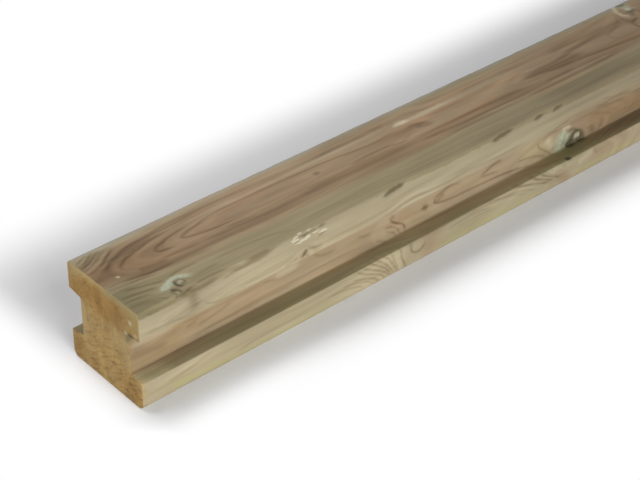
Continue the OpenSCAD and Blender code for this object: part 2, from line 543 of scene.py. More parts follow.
# %% Strokes of the top
TOP_STROKES = [
    # the near corner, where rings run out over the end
    ("line", 0.62, 0.9, [(1.4, -33.6), (6.4, -36.1), (10.4, -38.1), (14.4, -40.6)]),
    ("line", 0.62, 0.9, [(4.4, -30.6), (9.4, -33.1), (14.4, -36.6), (21.4, -41.6)]),
    ("line", 0.60, 0.9, [(0.4, -26.6), (6.4, -28.1), (11.4, -30.6), (18.4, -34.6), (25.4, -39.6)]),
    ("line", 0.55, 0.9, [(0.4, -23.1), (6.4, -25.1), (11.4, -27.1), (16.4, -29.6), (22.4, -33.6)]),
    ("pale", 0.26, 0.9, [(1.4, -32), (6.4, -34.2), (12.4, -37.6)]),
    ("pale", 0.26, 0.9, [(0.4, -24.8), (7.4, -26.8), (15.4, -31), (23.4, -36.2)]),
    ("pale", 0.20, 1.0, [(0.4, -20.1), (7.4, -22.1), (13.4, -24.1), (21.4, -28.6), (31.4, -34.6)]),
    ("line", 0.72, 1.2, [(0.4, -17.1), (7.4, -19.1), (13.4, -21.1), (19.4, -24.1), (23.4, -27.1),
        (29.4, -31.1), (36.4, -34.6)]),
    ("line", 0.60, 1.2, [(11.4, -14.1), (17.4, -16.6), (21.4, -19.6), (30.4, -23.6), (37.4, -26.6),
        (44.4, -28.6), (53.4, -29.6), (63.4, -30)]),
    ("line", 0.36, 1.0, [(46.6, -29.4), (58.6, -30), (72.6, -29.4), (92.6, -29.8), (114.6, -31.6)]),
    ("line", 0.26, 1.1, [(72.6, -33.6), (90.6, -33.8), (110.6, -33), (135.6, -32.6), (170.6, -32.6)]),
    ("line", 0.75, 1.3, [(24.9, -8.1), (25.9, -11.1), (29.4, -14.1), (33.4, -16.4), (39.4, -18.4),
        (45.4, -20.2), (50.4, -21), (57.4, -23.1), (67.4, -24.8), (81.4, -26.1)]),
    ("line", 0.46, 2.0, [(30.6, -16.5), (38.6, -20.4), (46.6, -22.6), (56.6, -25), (70.6, -27)]),
    ("line", 0.62, 1.3, [(71.4, -5.6), (64.4, -6.6), (58.9, -8.8), (58.7, -11.6), (61.4, -13.6),
        (67.4, -15.6), (74.4, -18.1), (85.4, -19.6), (97.4, -20.6)]),
    ("line", 0.50, 1.2, [(127.4, -3.6), (113.4, -4.2), (99.4, -6.2), (87.4, -9), (83.4, -10.9),
        (87.4, -13.4), (94.4, -15.6), (103.4, -17.6), (111.4, -20.1), (123.4, -21.8), (141.4, -21.8),
        (176.4, -21.9)]),
    ("line", 0.52, 1.2, [(113.4, -21), (141.4, -21.8), (176.4, -21.6), (206.4, -20.5), (236.4, -19),
        (256.4, -16.9), (271.4, -15), (286.4, -14.5), (305.4, -15), (323.4, -17.1)]),
    ("line", 0.46, 1.6, [(244.6, -18.6), (258.6, -16.4), (275.6, -15), (294.6, -14.9), (314.6, -17.6)]),
    ("pale", 0.16, 1.0, [(96.6, -24.6), (120.6, -26), (150.6, -25.2)]),
    ("pale", 0.15, 1.8, [(160.6, -24.8), (205.6, -24), (240.6, -24.6), (275.6, -23.2), (318.6, -22.4)]),
    ("line", 0.30, 2.0, [(231.4, -28.6), (256.4, -29.6), (281.4, -29.6), (306.4, -30.6), (326.4, -29.6)]),
    ("line", 0.45, 1.6, [(293.4, -30.6), (301.4, -29.8), (311.4, -29.6)]),
    ("line", 0.34, 3.4, [(22, -19), (32, -22), (44, -25.4), (58, -27), (76, -27.4)]),
    ("pale", 0.22, 2.0, [(20, -41), (32, -38.6), (50, -37), (70, -37)]),
    # its broad brown band
    ("line", 0.72, 1.4, [(16, 5.4), (30.4, 7.6), (39.4, 9.4), (49.4, 10.4), (64, 11)]),
    ("line", 0.42, 1.4, [(51.4, 11.9), (63.4, 11.9), (79.4, 12.6), (93.4, 13.4)]),
    ("line", 0.45, 3.2, [(32.6, 1), (42.6, 2.6), (50.6, 3.4), (60.6, 3.6)]),
    ("line", 0.40, 1.6, [(54.6, 1), (66.6, 1.6), (78.6, 2.4), (90.6, 3.4)]),
    ("line", 0.30, 2.6, [(96.6, 5), (115.6, 5.4), (140.6, 5.6), (160.6, 6), (190.6, 6)]),
    ("line", 0.22, 3.0, [(60.6, 8.6), (85.6, 9.6), (115.6, 10), (150.6, 10.5), (190.6, 10.4)]),
    ("pale", 0.16, 1.6, [(62.6, -3.4), (80.6, -3), (98.6, -1.6), (118.6, 0.4)]),
    ("line", 0.28, 3.0, [(119.4, 1.4), (135.4, 2.4), (147.4, 5.4), (159.4, 9.4)]),
    ("line", 0.30, 0.9, [(139.4, -0.4), (159.4, 0), (181.4, -0.4), (206.4, -0.2), (236.4, 0.2)]),
    ("line", 0.34, 1.5, [(187.4, 6.8), (204.4, 5.8), (223.4, 5.4), (246.4, 5.2), (276.4, 6)]),
    ("line", 0.30, 4.2, [(197.4, 2.8), (226.4, 2.8), (256.4, 2), (281.4, 2.8), (307.4, 3.8)]),
    ("line", 0.26, 2.8, [(186.6, 5.4), (220.6, 5), (255.6, 5), (285.6, 5.6), (318.6, 7)]),
    ("line", 0.42, 1.8, [(244.6, -0.4), (258.6, -2.2), (270.6, -3.4), (281.6, -2.8), (291.6, -2.4),
        (299.6, -0.8), (305.6, 0), (311.6, -1.8), (320.6, -4)]),
    # the hook, and the lines beyond it
    ("line", 0.46, 2.2, [(324, -14.8), (332, -13.2), (338, -10.2), (342, -8.2), (348, -6.2)]),
    ("line", 0.46, 2.0, [(330, -9.6), (336, -7.2), (341, -5.8), (346, -6.2)]),
    ("line", 0.35, 1.0, [(322.4, -14.6), (329.4, -13.6), (336.4, -13), (342.4, -10.6), (346.4, -6.6)]),
    ("line", 0.36, 2.2, [(347.4, -15.6), (361.4, -14.9), (386.4, -14.8), (411.4, -15), (437.4, -16.1)]),
    ("line", 0.38, 1.5, [(312.6, 1.5), (330.6, 2.7), (350.6, 3.3), (372.6, 3.7), (395.6, 3.9),
        (420.6, 4.3), (445.6, 4.9), (466.6, 6.5)]),
    ("line", 0.58, 1.4, [(318.6, 8.9), (334.6, 9.9), (350.6, 10.5), (372.6, 11.1), (392.6, 11.5),
        (415.6, 12.3), (445.6, 12.7), (466.6, 12.9)]),
    ("line", 0.24, 1.6, [(340.6, 17.1), (380.6, 17.5), (430.6, 17.3), (455.6, 17.5)]),
    ("line", 0.50, 1.5, [(434.6, 17.5), (460.6, 17.9), (485.6, 18.2), (520.6, 17.9), (560.6, 17.5)]),
    ("line", 0.34, 1.1, [(470.6, 10.5), (484.6, 10.7), (505.6, 11.3)]),
    ("pale", 0.10, 1.0, [(392.6, 14.1), (404.6, 14.5), (424.6, 14.1)]),
    ("pale", 0.22, 1.1, [(470.6, 13.9), (500.6, 13.7), (520.6, 14.1), (556.6, 14.3)]),
    ("pale", 0.14, 1.0, [(462.6, -13.3), (486.6, -13.9), (520.6, -14.1)]),
    # the dark tongue
    ("line", 0.62, 2.2, [(453.4, -4.6), (461.4, -5), (471.4, -6.6), (483.4, -7.6), (496.4, -7.6),
        (513.4, -9), (529.4, -10.6)]),
    ("line", 0.62, 2.4, [(455.6, -5.1), (466.6, -4.1), (478.6, -2.5), (492.6, 0.1), (508.6, 1.5),
        (522.6, 3.1)]),
    ("line", 0.58, 4.4, [(459, -5.2), (474, -5), (490, -4), (506, -3.6), (538, -3)]),
    ("line", 0.50, 1.7, [(508.6, 1.9), (530.6, 3.9), (548.6, 5.7), (566.6, 7.5), (584.6, 9.1),
        (604.6, 9.9), (625.6, 10)]),
    ("line", 0.34, 2.8, [(515.6, -11.5), (532.6, -13.5), (550.6, -15.5), (566.6, -17.5), (582.6, -19.1),
        (598.6, -20.5), (612.6, -22.2)]),
    ("line", 0.30, 3.6, [(506.4, -21.6), (526.4, -22.6), (546.4, -21.6), (566.4, -21.6), (591.4, -23.6)]),
    ("line", 0.30, 1.2, [(597.4, -15.1), (583.4, -12.6), (574.9, -8.6), (574.4, -3.6), (581.4, 0.4)]),
    ("line", 0.60, 1.6, [(623.4, -14.6), (613.4, -11.6), (609.9, -7.6), (610.4, -2.6), (617.4, 2.4)]),
    ("line", 0.35, 1.0, [(471.4, -14.4), (491.4, -14.6), (516.4, -15.2)]),
    # the olive side, where rings part round the knot
    ("line", 0.40, 1.0, [(0.4, 3.9), (9.4, 4.2), (17.4, 5), (25.4, 6.4)]),
    ("line", 0.40, 1.0, [(0.4, 8.4), (9.4, 9), (19.4, 9.9), (31.4, 11.4), (43.4, 13.4)]),
    ("line", 0.50, 1.2, [(8.4, 14.9), (15.4, 16.4), (22.4, 18.8), (29.4, 20.4), (35.4, 22.2),
        (42.4, 24.4)]),
    ("line", 0.60, 1.3, [(0.4, 21.4), (8.4, 22.4), (15.4, 23.8), (23.4, 25.4), (32.4, 27)]),
    ("line", 0.45, 1.2, [(0.4, 26.9), (9.4, 27.9), (17.4, 29.9), (25.4, 32.4)]),
    ("line", 0.30, 3.4, [(0.4, 33.4), (8.4, 34.4), (16.4, 37.4), (24.4, 42.4)]),
    ("line", 0.45, 0.9, [(22.4, 37.4), (26.4, 39.9), (30.4, 42.9)]),
    ("line", 0.35, 0.9, [(44.4, 23.4), (51.4, 21.2), (59.4, 20.7), (73.4, 21.4)]),
    ("line", 0.35, 1.6, [(53.4, 33.4), (61.4, 33.6), (71.4, 33), (85.4, 32.4)]),
    ("line", 0.45, 1.1, [(56.4, 41.4), (67.4, 40.7), (77.4, 41.1), (85.4, 41.9)]),
    ("line", 0.25, 1.1, [(85.4, 26.4), (106.4, 26.9), (129.4, 29.4), (147.4, 33.4), (157.4, 38.4)]),
    ("line", 0.20, 1.0, [(171.4, 33.4), (179.4, 31.4), (196.4, 31), (216.4, 30.9), (251.4, 29.4),
        (281.4, 31.4)]),
]
draw("top", TOP_STROKES)

# %% [markdown]
# ## The two knots of the top
# Two branches came out through the top. Each shows as a mint green crescent of callus, drawn in a
# few overlapping strokes, round a dark core with a lighter eye. The near one also has dark chips
# below it, where the planer broke the brittle wood.

# %% Strokes of the two knots of the top
KNOT_STROKES = [
    # the near knot: a thin pale crescent, a dark ring with a grey eye, dark chips below
    ("mint", 1.00, 1.7, [(30, 33.4), (35, 30), (40, 27.6), (45, 26), (50, 26), (55, 28.6), (61, 32.8)]),
    ("mint", 1.00, 2.3, [(33, 33), (37, 31.4), (41.5, 29.8), (44.5, 27.4)]),
    ("pale", 0.45, 0.9, [(30.4, 32.8), (36.4, 28.8), (41.4, 26.4), (46.4, 24.8), (51.4, 24.6),
        (57.4, 27.4), (63.4, 31.4)]),
    ("core", 0.44, 1.3, [(43.6, 33), (45, 30.6), (47.6, 29.4), (50.4, 29.8), (52, 32), (51, 34.6),
        (48.4, 35.6), (44.6, 35)]),
    ("core", 0.80, 1.5, [(48, 36.8), (45.6, 35.6), (44.4, 33), (45, 30), (47, 28.6)]),
    ("eye", 0.42, 1.3, [(46.4, 33.4), (48.6, 31.8), (51, 30.2)]),
    ("brown", 1.00, 1.8, [(41, 33.8), (44, 37.2), (48.4, 39.2)]),
    ("core", 0.58, 1.4, [(36.4, 35.4), (39.4, 37.4), (41.4, 39.8), (42, 43.8)]),
    ("core", 0.50, 1.1, [(38.4, 45.4), (43.4, 44.2), (49.4, 43.4)]),
    ("core", 0.45, 0.8, [(35, 38.4), (36.8, 40.8), (37, 44.4)]),
    ("pale", 0.18, 0.9, [(38, 39.8), (39, 42.4), (39.4, 45.4)]),
    # the knot further on
    ("pale", 0.60, 2.1, [(619.4, -19.6), (615.4, -25.6), (615, -32.6), (618.4, -39.6), (621.4, -45.6)]),
    ("mint", 0.45, 5.2, [(629.4, -47.6), (629.4, -39.6), (629.4, -31.6), (629.4, -23.6)]),
    ("core", 0.55, 2.2, [(623.4, -45.6), (628.4, -39.6), (634.4, -41.6)]),
    ("core", 0.60, 2.6, [(623.4, -27.6), (628.4, -26.1), (633.4, -28.6)]),
    ("eye", 0.80, 1.8, [(626.4, -32.6), (630.4, -29.6)]),
]
draw("top", KNOT_STROKES)

# %% [markdown]
# ## The grain of the front
# The front has three strips: the upper flange, the floor of the groove (the web) and the lower
# flange. The web is nearest to the pith and shows the widest loops; the rings of the lower flange
# dive across it where the branch below begins.

# %% Strokes of the upper flange
FLANGE_STROKES = [
    ("pale", 0.30, 0.9, [(15.4, 18.4), (25.4, 17.4), (32.4, 15.4), (40.4, 13.7)]),
    ("line", 0.30, 0.9, [(5.4, 19.9), (15.4, 20), (25.4, 19.2), (33.4, 17.4)]),
    ("line", 0.25, 0.9, [(21.4, 16.4), (29.4, 15.4), (35.4, 13.4)]),
    ("line", 0.28, 0.8, [(23.4, 21.9), (29.4, 20.9), (35.4, 21.4), (43.4, 23), (53.4, 24.4)]),
    ("line", 0.28, 0.9, [(59.4, 16.4), (64.4, 20.4), (71.4, 22.9), (83.4, 24.4), (95.4, 24.8)]),
    ("line", 0.24, 0.9, [(89.4, 18.9), (105.4, 20.4), (121.4, 20.8), (135.4, 20), (146.4, 17.4),
        (154.4, 16.8)]),
    ("line", 0.34, 1.1, [(139.4, 23), (147.4, 21.4), (153.4, 21)]),
    ("core", 0.42, 1.5, [(158, 21.4), (159.8, 19), (161.6, 16.8)]),
    ("line", 0.70, 1.2, [(156.4, 22.8), (159.8, 19), (162.4, 16.4)]),
    ("brown", 0.80, 3.0, [(154.4, 22.4), (158.4, 20.4), (161.4, 19.4)]),
    ("line", 0.45, 1.2, [(162.4, 16), (165.4, 17.6), (170.4, 19), (179.4, 19.2)]),
    ("line", 0.35, 1.0, [(160.4, 20.9), (161.9, 22.9), (163.4, 25.4)]),
    ("line", 0.22, 1.2, [(173.4, 19.2), (191.4, 18.8), (211.4, 19.1), (233.4, 18.6), (251.4, 17),
        (265.4, 15.4)]),
    ("line", 0.32, 1.0, [(240.2, 25.4), (250.2, 23.8), (260.2, 22), (270.2, 20.4), (280.2, 19.8),
        (292.2, 20.8), (304.2, 21.4), (318.2, 21.4), (330.2, 20), (346.2, 19), (364.2, 19)]),
    ("pale", 0.34, 1.2, [(247.2, 20.8), (258.2, 18.4), (270.2, 16.6), (280.2, 16.2), (294.2, 18),
        (310.2, 18.8)]),
    ("pale", 0.30, 1.3, [(256.2, 24.4), (266.2, 23), (276.2, 22.4), (290.2, 23.8), (310.2, 24)]),
    ("line", 0.22, 1.0, [(322.2, 16.4), (344.2, 15.8), (366.2, 16.2), (392.2, 15.8)]),
    ("line", 0.22, 1.0, [(342.2, 22.9), (362.2, 21.4), (384.2, 22), (408.2, 21.4)]),
    ("line", 0.38, 0.9, [(432.4, 25.4), (441.4, 24.4), (448.4, 23), (457.4, 21.6), (467.4, 20.8)]),
    ("line", 0.34, 1.2, [(499.4, 22), (511.4, 23.4), (519.4, 21.2), (531.4, 22.2), (549.4, 23.4)]),
    ("line", 0.30, 1.0, [(507.4, 16.8), (515.4, 18.4), (523.4, 20.4), (541.4, 19.4)]),
    ("line", 0.42, 5.0, [(50.4, -1.6), (50.4, 6.4), (51.4, 13.4), (54.4, 20.4)]),
    ("line", 0.40, 1.6, [(87.4, 2.8), (99.4, 3.6), (111.4, 3.4), (123.4, 2.4), (131.4, 0.4)]),
    ("line", 0.45, 1.8, [(39.4, 3.4), (51.4, 4), (63.4, 3.6), (75.4, 1.8)]),
    ("line", 0.25, 1.4, [(5.4, 3), (17.4, 3.4), (29.4, 3), (39.4, 2.4)]),
    ("pale", 0.30, 0.9, [(77.6, -1.2), (84.6, -1), (94.6, -0.2), (106.6, 0.8)]),
    ("line", 0.42, 1.0, [(78.6, 5), (84.6, 4.4), (93.6, 3.4), (108.6, 2.9)]),
    ("line", 0.45, 2.3, [(99.6, 1.8), (112.1, 1.3), (127.6, 1.6)]),
    ("pale", 0.26, 0.9, [(98.6, 22.3), (115.3, 22.9), (129.5, 22.4), (148.6, 21.2)]),
    ("line", 0.26, 0.9, [(94.6, 19.8), (108.3, 18.8), (125.3, 17.6), (146.6, 16.6)]),
    ("pale", 0.22, 1.6, [(18.6, 14.6), (26.6, 13.6), (38.6, 11.4), (48.6, 10)]),
    ("warm", 0.50, 5.0, [(491.4, 22.4), (531.4, 20.4), (601.4, 20.4)]),
]
draw("flange", FLANGE_STROKES)

# %% Strokes of the web
WEB_STROKES = [
    ("line", 0.78, 1.0, [(267.4, 40.4), (265.4, 43.9), (267.4, 47.4), (271.4, 50.4), (275.4, 52.9),
        (280.4, 55.9), (282.2, 59.4), (282.4, 64.4)]),
    ("line", 0.40, 2.0, [(268.9, 40.4), (268.4, 43.4), (268.9, 46.4)]),
    ("line", 0.46, 0.9, [(259.4, 50.4), (266.4, 52.4), (271.4, 55.4), (274.9, 58.9), (276.4, 64.4)]),
    ("line", 0.32, 0.9, [(259.4, 54.4), (266.4, 57.4), (270.4, 60.4), (272.4, 64.4)]),
    ("line", 0.30, 1.3, [(61.4, 58.8), (79.4, 58), (95.4, 57.8), (113.4, 56.6), (133.4, 55.6),
        (156.4, 55.8), (181.4, 55.9), (206.4, 55.7), (223.4, 56.2), (235.4, 57.4)]),
    ("line", 0.30, 1.4, [(249.4, 59.9), (255.4, 61.8), (261.4, 64.4)]),
    ("line", 0.26, 1.2, [(109.4, 60.4), (123.4, 58.4), (141.4, 58), (161.4, 58.4)]),
    ("line", 0.26, 1.8, [(63.4, 51.9), (75.4, 49.8), (87.4, 47), (101.4, 44)]),
    ("warm", 1.00, 18.0, [(-28.6, 56.4), (21.4, 55.4), (45.4, 52.4), (61.4, 50.4)]),
    ("warm", 0.90, 14.0, [(-18.6, 52.4), (21.4, 50.4), (46.4, 46.4), (81.4, 42.4)]),
    ("line", 0.36, 5.4, [(-8, 50), (8, 49), (22, 51), (38, 53)]),
    ("line", 0.30, 2.6, [(0.6, 30), (0.6, 45), (0.6, 55), (0.6, 74)]),
    ("pale", 0.24, 1.4, [(2, 39.6), (18, 40.4), (44, 40.4)]),
    ("line", 0.20, 2.0, [(44.6, 42), (76.6, 42.5), (110.6, 42.8), (134.6, 42)]),
    ("warm", 0.50, 9.0, [(31.4, 60.4), (61.4, 58.4), (91.4, 57.4), (131.4, 60.4)]),
    ("line", 0.24, 3.6, [(-6.6, 47.4), (19.4, 48.4), (39.4, 45.4), (55.4, 43.4)]),
    ("line", 0.30, 1.4, [(53.4, 47.4), (61.4, 45.4), (65.4, 41.4)]),
    ("line", 0.22, 1.2, [(125.4, 40.9), (137.4, 44), (145.4, 46.4), (159.4, 47), (173.4, 45.4)]),
    ("line", 0.30, 1.4, [(181.4, 39.9), (187.4, 43.8), (195.4, 46), (207.4, 45.4)]),
    ("line", 0.30, 1.4, [(229.4, 45), (234.4, 47.2), (243.4, 48.4)]),
    ("pale", 0.34, 3.2, [(141.4, 42.4), (153.4, 42.4), (167.4, 41.8)]),
    ("warm", 0.35, 6.0, [(271.4, 47.4), (287.4, 48.4), (301.4, 52.4)]),
    ("line", 0.62, 3.2, [(302, 48), (305, 50), (309, 52)]),
    ("line", 0.60, 1.3, [(347.4, 43.4), (339.4, 41.8), (331.4, 41.6), (324.4, 43.8), (317.4, 46.4),
        (315.9, 49.1), (319.4, 51.8), (327.4, 53.6), (339.4, 54.8), (353.4, 55.2), (369.4, 55.8),
        (385.4, 56.4), (401.4, 57.8), (415.4, 59.8), (427.4, 62.4), (435.4, 64.9)]),
    ("line", 0.48, 2.8, [(318.4, 50.4), (321.4, 48), (328.4, 45)]),
    ("warm", 0.35, 5.0, [(321.4, 49.4), (346.4, 48.9), (373.4, 52.4)]),
    ("line", 0.60, 1.4, [(397.4, 41.9), (390.4, 41.4), (384.4, 42.8), (378.4, 45.4), (370.4, 47.2)]),
    ("line", 0.40, 1.2, [(370.4, 47.2), (376.4, 49.2), (385.4, 50.4), (393.4, 51.8)]),
    ("line", 0.46, 1.3, [(417.4, 53), (429.4, 54), (439.4, 56), (447.4, 58.8), (453.4, 62),
        (456.4, 64.9)]),
    ("line", 0.40, 1.0, [(415.4, 57.8), (421.4, 60.8), (430.4, 62.8), (438.4, 64.9)]),
    ("line", 0.66, 0.9, [(443.4, 43.9), (444, 47.4), (446.9, 51), (452.4, 55), (457.9, 59), (461.4, 62.4),
        (463.4, 64.9)]),
    ("line", 0.34, 1.2, [(449.9, 44.4), (453.4, 41.8), (461.4, 40.4), (471.4, 39.8)]),
    ("pale", 0.45, 5.0, [(454.4, 44.4), (458.4, 50.4), (464.4, 58.4)]),
    ("pale", 0.60, 1.8, [(475.4, 43), (480.4, 42.6), (486.4, 44)]),
    ("mint", 0.55, 3.4, [(470.2, 68.9), (468.8, 58.9), (469.6, 50.9), (474.2, 44.5)]),
    ("mint", 0.80, 5.0, [(472.2, 66.9), (472.8, 56.9), (474.2, 50.9), (478.2, 46.9)]),
    ("mint", 0.85, 4.6, [(474.2, 60.9), (474.8, 53.9), (477.2, 47.9), (481.2, 45.9)]),
    ("mint", 0.80, 3.6, [(479.2, 62.9), (480.8, 55.9), (482.8, 50.9), (486.2, 48.9)]),
    ("core", 0.24, 3.0, [(475.8, 58.9), (479.2, 57.9), (480.2, 60.9)]),
    ("core", 0.50, 1.5, [(481.8, 48.9), (486.2, 47.7), (491.2, 48.7), (495.2, 50.9), (499.2, 52.9)]),
    ("core", 0.66, 2.0, [(498.2, 51.9), (502.2, 55.5), (504.6, 59.9), (505, 64.9), (505, 72.9)]),
    ("core", 0.95, 1.7, [(489.2, 57.9), (490, 54.5), (492.6, 52.5), (496.2, 52.5), (499.8, 54.5),
        (501.8, 57.9), (501.8, 62.9), (501.2, 70.9)]),
    ("core", 1.00, 3.0, [(492.8, 54.5), (488.8, 58.5), (484.6, 61.3), (480.6, 63.5)]),
    ("core", 1.00, 3.6, [(492.2, 57.9), (488.8, 61.9), (485.2, 66.9), (484.2, 74.9)]),
    ("core", 0.80, 4.2, [(488.2, 52.9), (492.2, 57.9), (497.2, 60.9), (500.2, 66.9), (500.2, 76.9)]),
    ("core", 0.70, 2.6, [(490.2, 62.9), (494.2, 61.5), (498.2, 61.5), (504.2, 62.9)]),
    ("eye", 1.00, 2.3, [(492.8, 57.9), (496.4, 57.3), (500.4, 56.9)]),
    ("warm", 1.00, 12.0, [(509.4, 40.4), (531.4, 50.4), (561.4, 50.4), (601.4, 50.4)]),
    ("line", 0.32, 3.0, [(513.4, 52.4), (516.4, 56.4), (515.4, 61.4)]),
    ("line", 0.30, 2.6, [(527.4, 50.4), (529.4, 55.4), (527.4, 61.4)]),
    ("line", 0.30, 1.3, [(529.4, 40.4), (544.4, 41.4), (559.4, 43)]),
    ("yellow", 0.25, 9.0, [(-20, 48), (6, 48), (24, 47), (40, 45)]),
    ("yellow", 0.30, 9.0, [(426.4, 50.4), (447.4, 52.4), (467.4, 54.4)]),
]
draw("web", WEB_STROKES)

# %% Strokes of the lower flange
LOWER_STROKES = [
    ("pale", 0.26, 1.1, [(9.4, 9), (25.4, 7), (39.4, 4.8), (55.4, 2.4)]),
    ("line", 0.26, 1.0, [(23.4, 10.4), (39.4, 8.4), (53.4, 5.4), (69.4, 2.4)]),
    ("line", 0.30, 1.3, [(89.4, 16.4), (105.4, 14), (125.4, 13.2), (147.4, 13.4), (167.4, 12)]),
    ("line", 0.36, 0.9, [(184.4, 10.9), (198.4, 11.4), (210.4, 13.8), (218.4, 16.4), (224.4, 20.4)]),
    ("line", 0.40, 0.9, [(198.4, 8.4), (210.4, 10), (220.4, 13), (228.4, 16.4), (233.4, 20.4),
        (236.4, 24.4)]),
    ("line", 0.50, 0.9, [(210.4, 7.4), (222.4, 11), (231.4, 14.4), (237.4, 18.4), (242.4, 24.4)]),
    ("line", 0.50, 0.9, [(214.4, 0.4), (223.4, 6.4), (232.4, 10.8), (240.4, 15), (245.4, 19.4),
        (248.4, 24.4)]),
    ("line", 0.53, 0.9, [(221.4, 0.4), (230.4, 5.4), (238.4, 10), (245.4, 14.4), (250.4, 19.4),
        (253.4, 24.4)]),
    ("line", 0.57, 0.9, [(229.4, -0.6), (237.4, 4.4), (243.4, 8.8), (248.4, 13.4), (252.4, 18.4),
        (255.4, 24.4)]),
    ("line", 0.57, 0.9, [(236.4, -0.6), (244.4, 5), (249.4, 10), (252.4, 14.4), (255.9, 19.4),
        (258.4, 24.4)]),
    ("line", 0.53, 0.9, [(244.4, -0.6), (250.4, 4), (253.9, 9.4), (256.4, 14.4), (259.4, 19.4),
        (261.4, 24.4)]),
    ("line", 0.40, 0.9, [(252.4, -0.6), (255.8, 5.4), (257.4, 11.4), (260.4, 17.4), (263.4, 24.4)]),
    ("line", 0.57, 1.0, [(262.9, -0.6), (264.9, 4.4), (265.4, 9.4), (267.4, 14.4), (269.4, 19.4),
        (269.9, 24.4)]),
    ("line", 0.62, 1.1, [(275.4, -0.6), (275.8, 4.4), (276.8, 8.4), (280, 11.2), (284.4, 11.9),
        (288.4, 10.9), (291, 8), (292.4, 4.4)]),
    ("line", 0.36, 1.0, [(318.4, 5.4), (332.4, 4.2), (348.4, 3.8), (362.4, 5), (372.4, 6.4)]),
    ("line", 0.30, 0.9, [(328.4, 8.8), (346.4, 7.8), (362.4, 8.4), (376.4, 10.4)]),
    ("line", 0.36, 0.9, [(340.4, 1.4), (360.4, 1.8), (378.4, 3.2), (393.4, 5.4), (406.4, 8.8),
        (416.4, 12.4)]),
    ("line", 0.36, 0.9, [(364.4, 0), (382.4, 2.4), (398.4, 4.4), (411.4, 7.4), (423.4, 11.4),
        (432.4, 15.4)]),
    ("line", 0.55, 1.2, [(400.4, -0.6), (413.4, 2.8), (425.4, 6.4), (437.4, 10.4), (449.4, 14.4)]),
    ("line", 0.62, 1.2, [(422.4, -0.6), (429.4, 3.4), (437.4, 7), (444.4, 10), (452.4, 13.4)]),
    ("line", 0.58, 1.1, [(432.4, -0.6), (439.4, 3.8), (446.4, 7.4), (453.4, 10.4), (460.4, 13.9)]),
    ("line", 0.45, 1.0, [(439.4, -0.6), (444.4, 3.4), (450.4, 7), (457.4, 10)]),
    ("line", 0.28, 0.9, [(453.4, 0.4), (458.4, 4.4), (462.4, 8.4)]),
    ("brown", 0.80, 5.0, [(454.4, 9.4), (462.4, 13.4), (469.4, 19.4), (471.4, 24.4)]),
    ("core", 0.80, 1.0, [(468, -1), (471, -0.2), (474.2, -0.8)]),
    ("pale", 0.36, 1.5, [(440, -0.2), (447.4, 4.4), (454.4, 7.4)]),
    ("pale", 0.36, 2.2, [(449.4, -0.2), (458.4, 3.6), (464.4, 5.8)]),
    ("pale", 0.30, 2.8, [(465.4, 3.4), (475.4, 4.8), (484.4, 3.4)]),
    ("pale", 0.48, 4.4, [(482.4, 8.4), (491.4, 5.4), (504.4, 3.4)]),
    ("line", 0.28, 1.0, [(503.4, 2.4), (507.4, 6.4), (510.4, 10.4)]),
    ("brown", 0.70, 4.5, [(513.4, 3.4), (521.4, 8.4), (525.4, 18.4)]),
    ("yellow", 0.80, 2.4, [(27.4, 15.4), (41.4, 17.4), (49.4, 16.9)]),
    ("yellow", 0.60, 1.8, [(67.4, 15.4), (75.4, 17.8)]),
    ("yellow", 0.50, 3.0, [(21.4, 12.4), (61.4, 18.4), (151.4, 20.4), (211.4, 19.4)]),
    ("yellow", 0.50, 4.0, [(301.4, 18.4), (341.4, 17.4), (381.4, 18.4), (421.4, 19.4), (447.4, 18.4)]),
    ("yellow", 0.50, 3.0, [(477.4, 19.4), (501.4, 18.4), (561.4, 16.4)]),
]
draw("lower", LOWER_STROKES)

# %% [markdown]
# ## Where the grown rings step back
# Where grain is drawn by hand, the grown rings would run across it, so there they stay faint. The
# drawn stretch ends by a smooth step, after which the grown rings carry on alone.

# %% Share of the grown rings
DRAWN_UNTIL = (600, 720)
# how much of the grown rings is taken away on each face
FAINTER = {"top": 0.6, "flange": 0.7, "web": 0.85, "lower": 0.85}

drawn_stretch = 1 - soft_step(along, *DRAWN_UNTIL)
rings = 1 - drawn_stretch * sum(share * FACES[face][0] for face, share in FAINTER.items())
rings = np.where(on_end, speckled, rings)     # on the ends it is the speckle's share
print("points with faint rings:", int((rings < 0.5).sum()))

# %% [markdown]
# ## Knots
# A knot is a branch cut through. Round its dark core lies a callus that took up the green salts
# and dried to a pale mint, mostly on one side, and the planer leaves the whole sunk and chipped.
# The three knots that are seen from near by, two on the top and one in the groove, are drawn
# above. The others are ellipses with a smaller ellipse taken out of each off centre, so that a
# crescent is left; waves make both edges uneven.

# %% Knots
def face_reach(centre, long_way, wide_way):
    """How many ellipse radii each point lies from the centre. On a flat face only one of the two
    cross directions changes, so their sum is the distance across the grain, with its sign."""
    ahead = (along - centre[0]) / long_way
    beside = (across - centre[1]) + (height - centre[2])
    off_face = np.minimum(np.abs(across - centre[1]), np.abs(height - centre[2]))
    return np.sqrt(ahead**2 + (beside / wide_way) ** 2 + off_face**2)


def spot(centre, long_way, wide_way, edge):
    """One inside an ellipse on a face, falling to zero over its ragged edge."""
    return 1 - soft_step(face_reach(centre, long_way, wide_way) + ragged, 1 - edge, 1 + edge)


ragged = waves(21, (12, 9, 9), 0.08, 14)
CORE_DEPTH = 0.9                              # how far the core of a drawn knot is sunk, mm
PITH_SHARE = (0.24, 0.36)                     # size of the eye, as shares of the core's
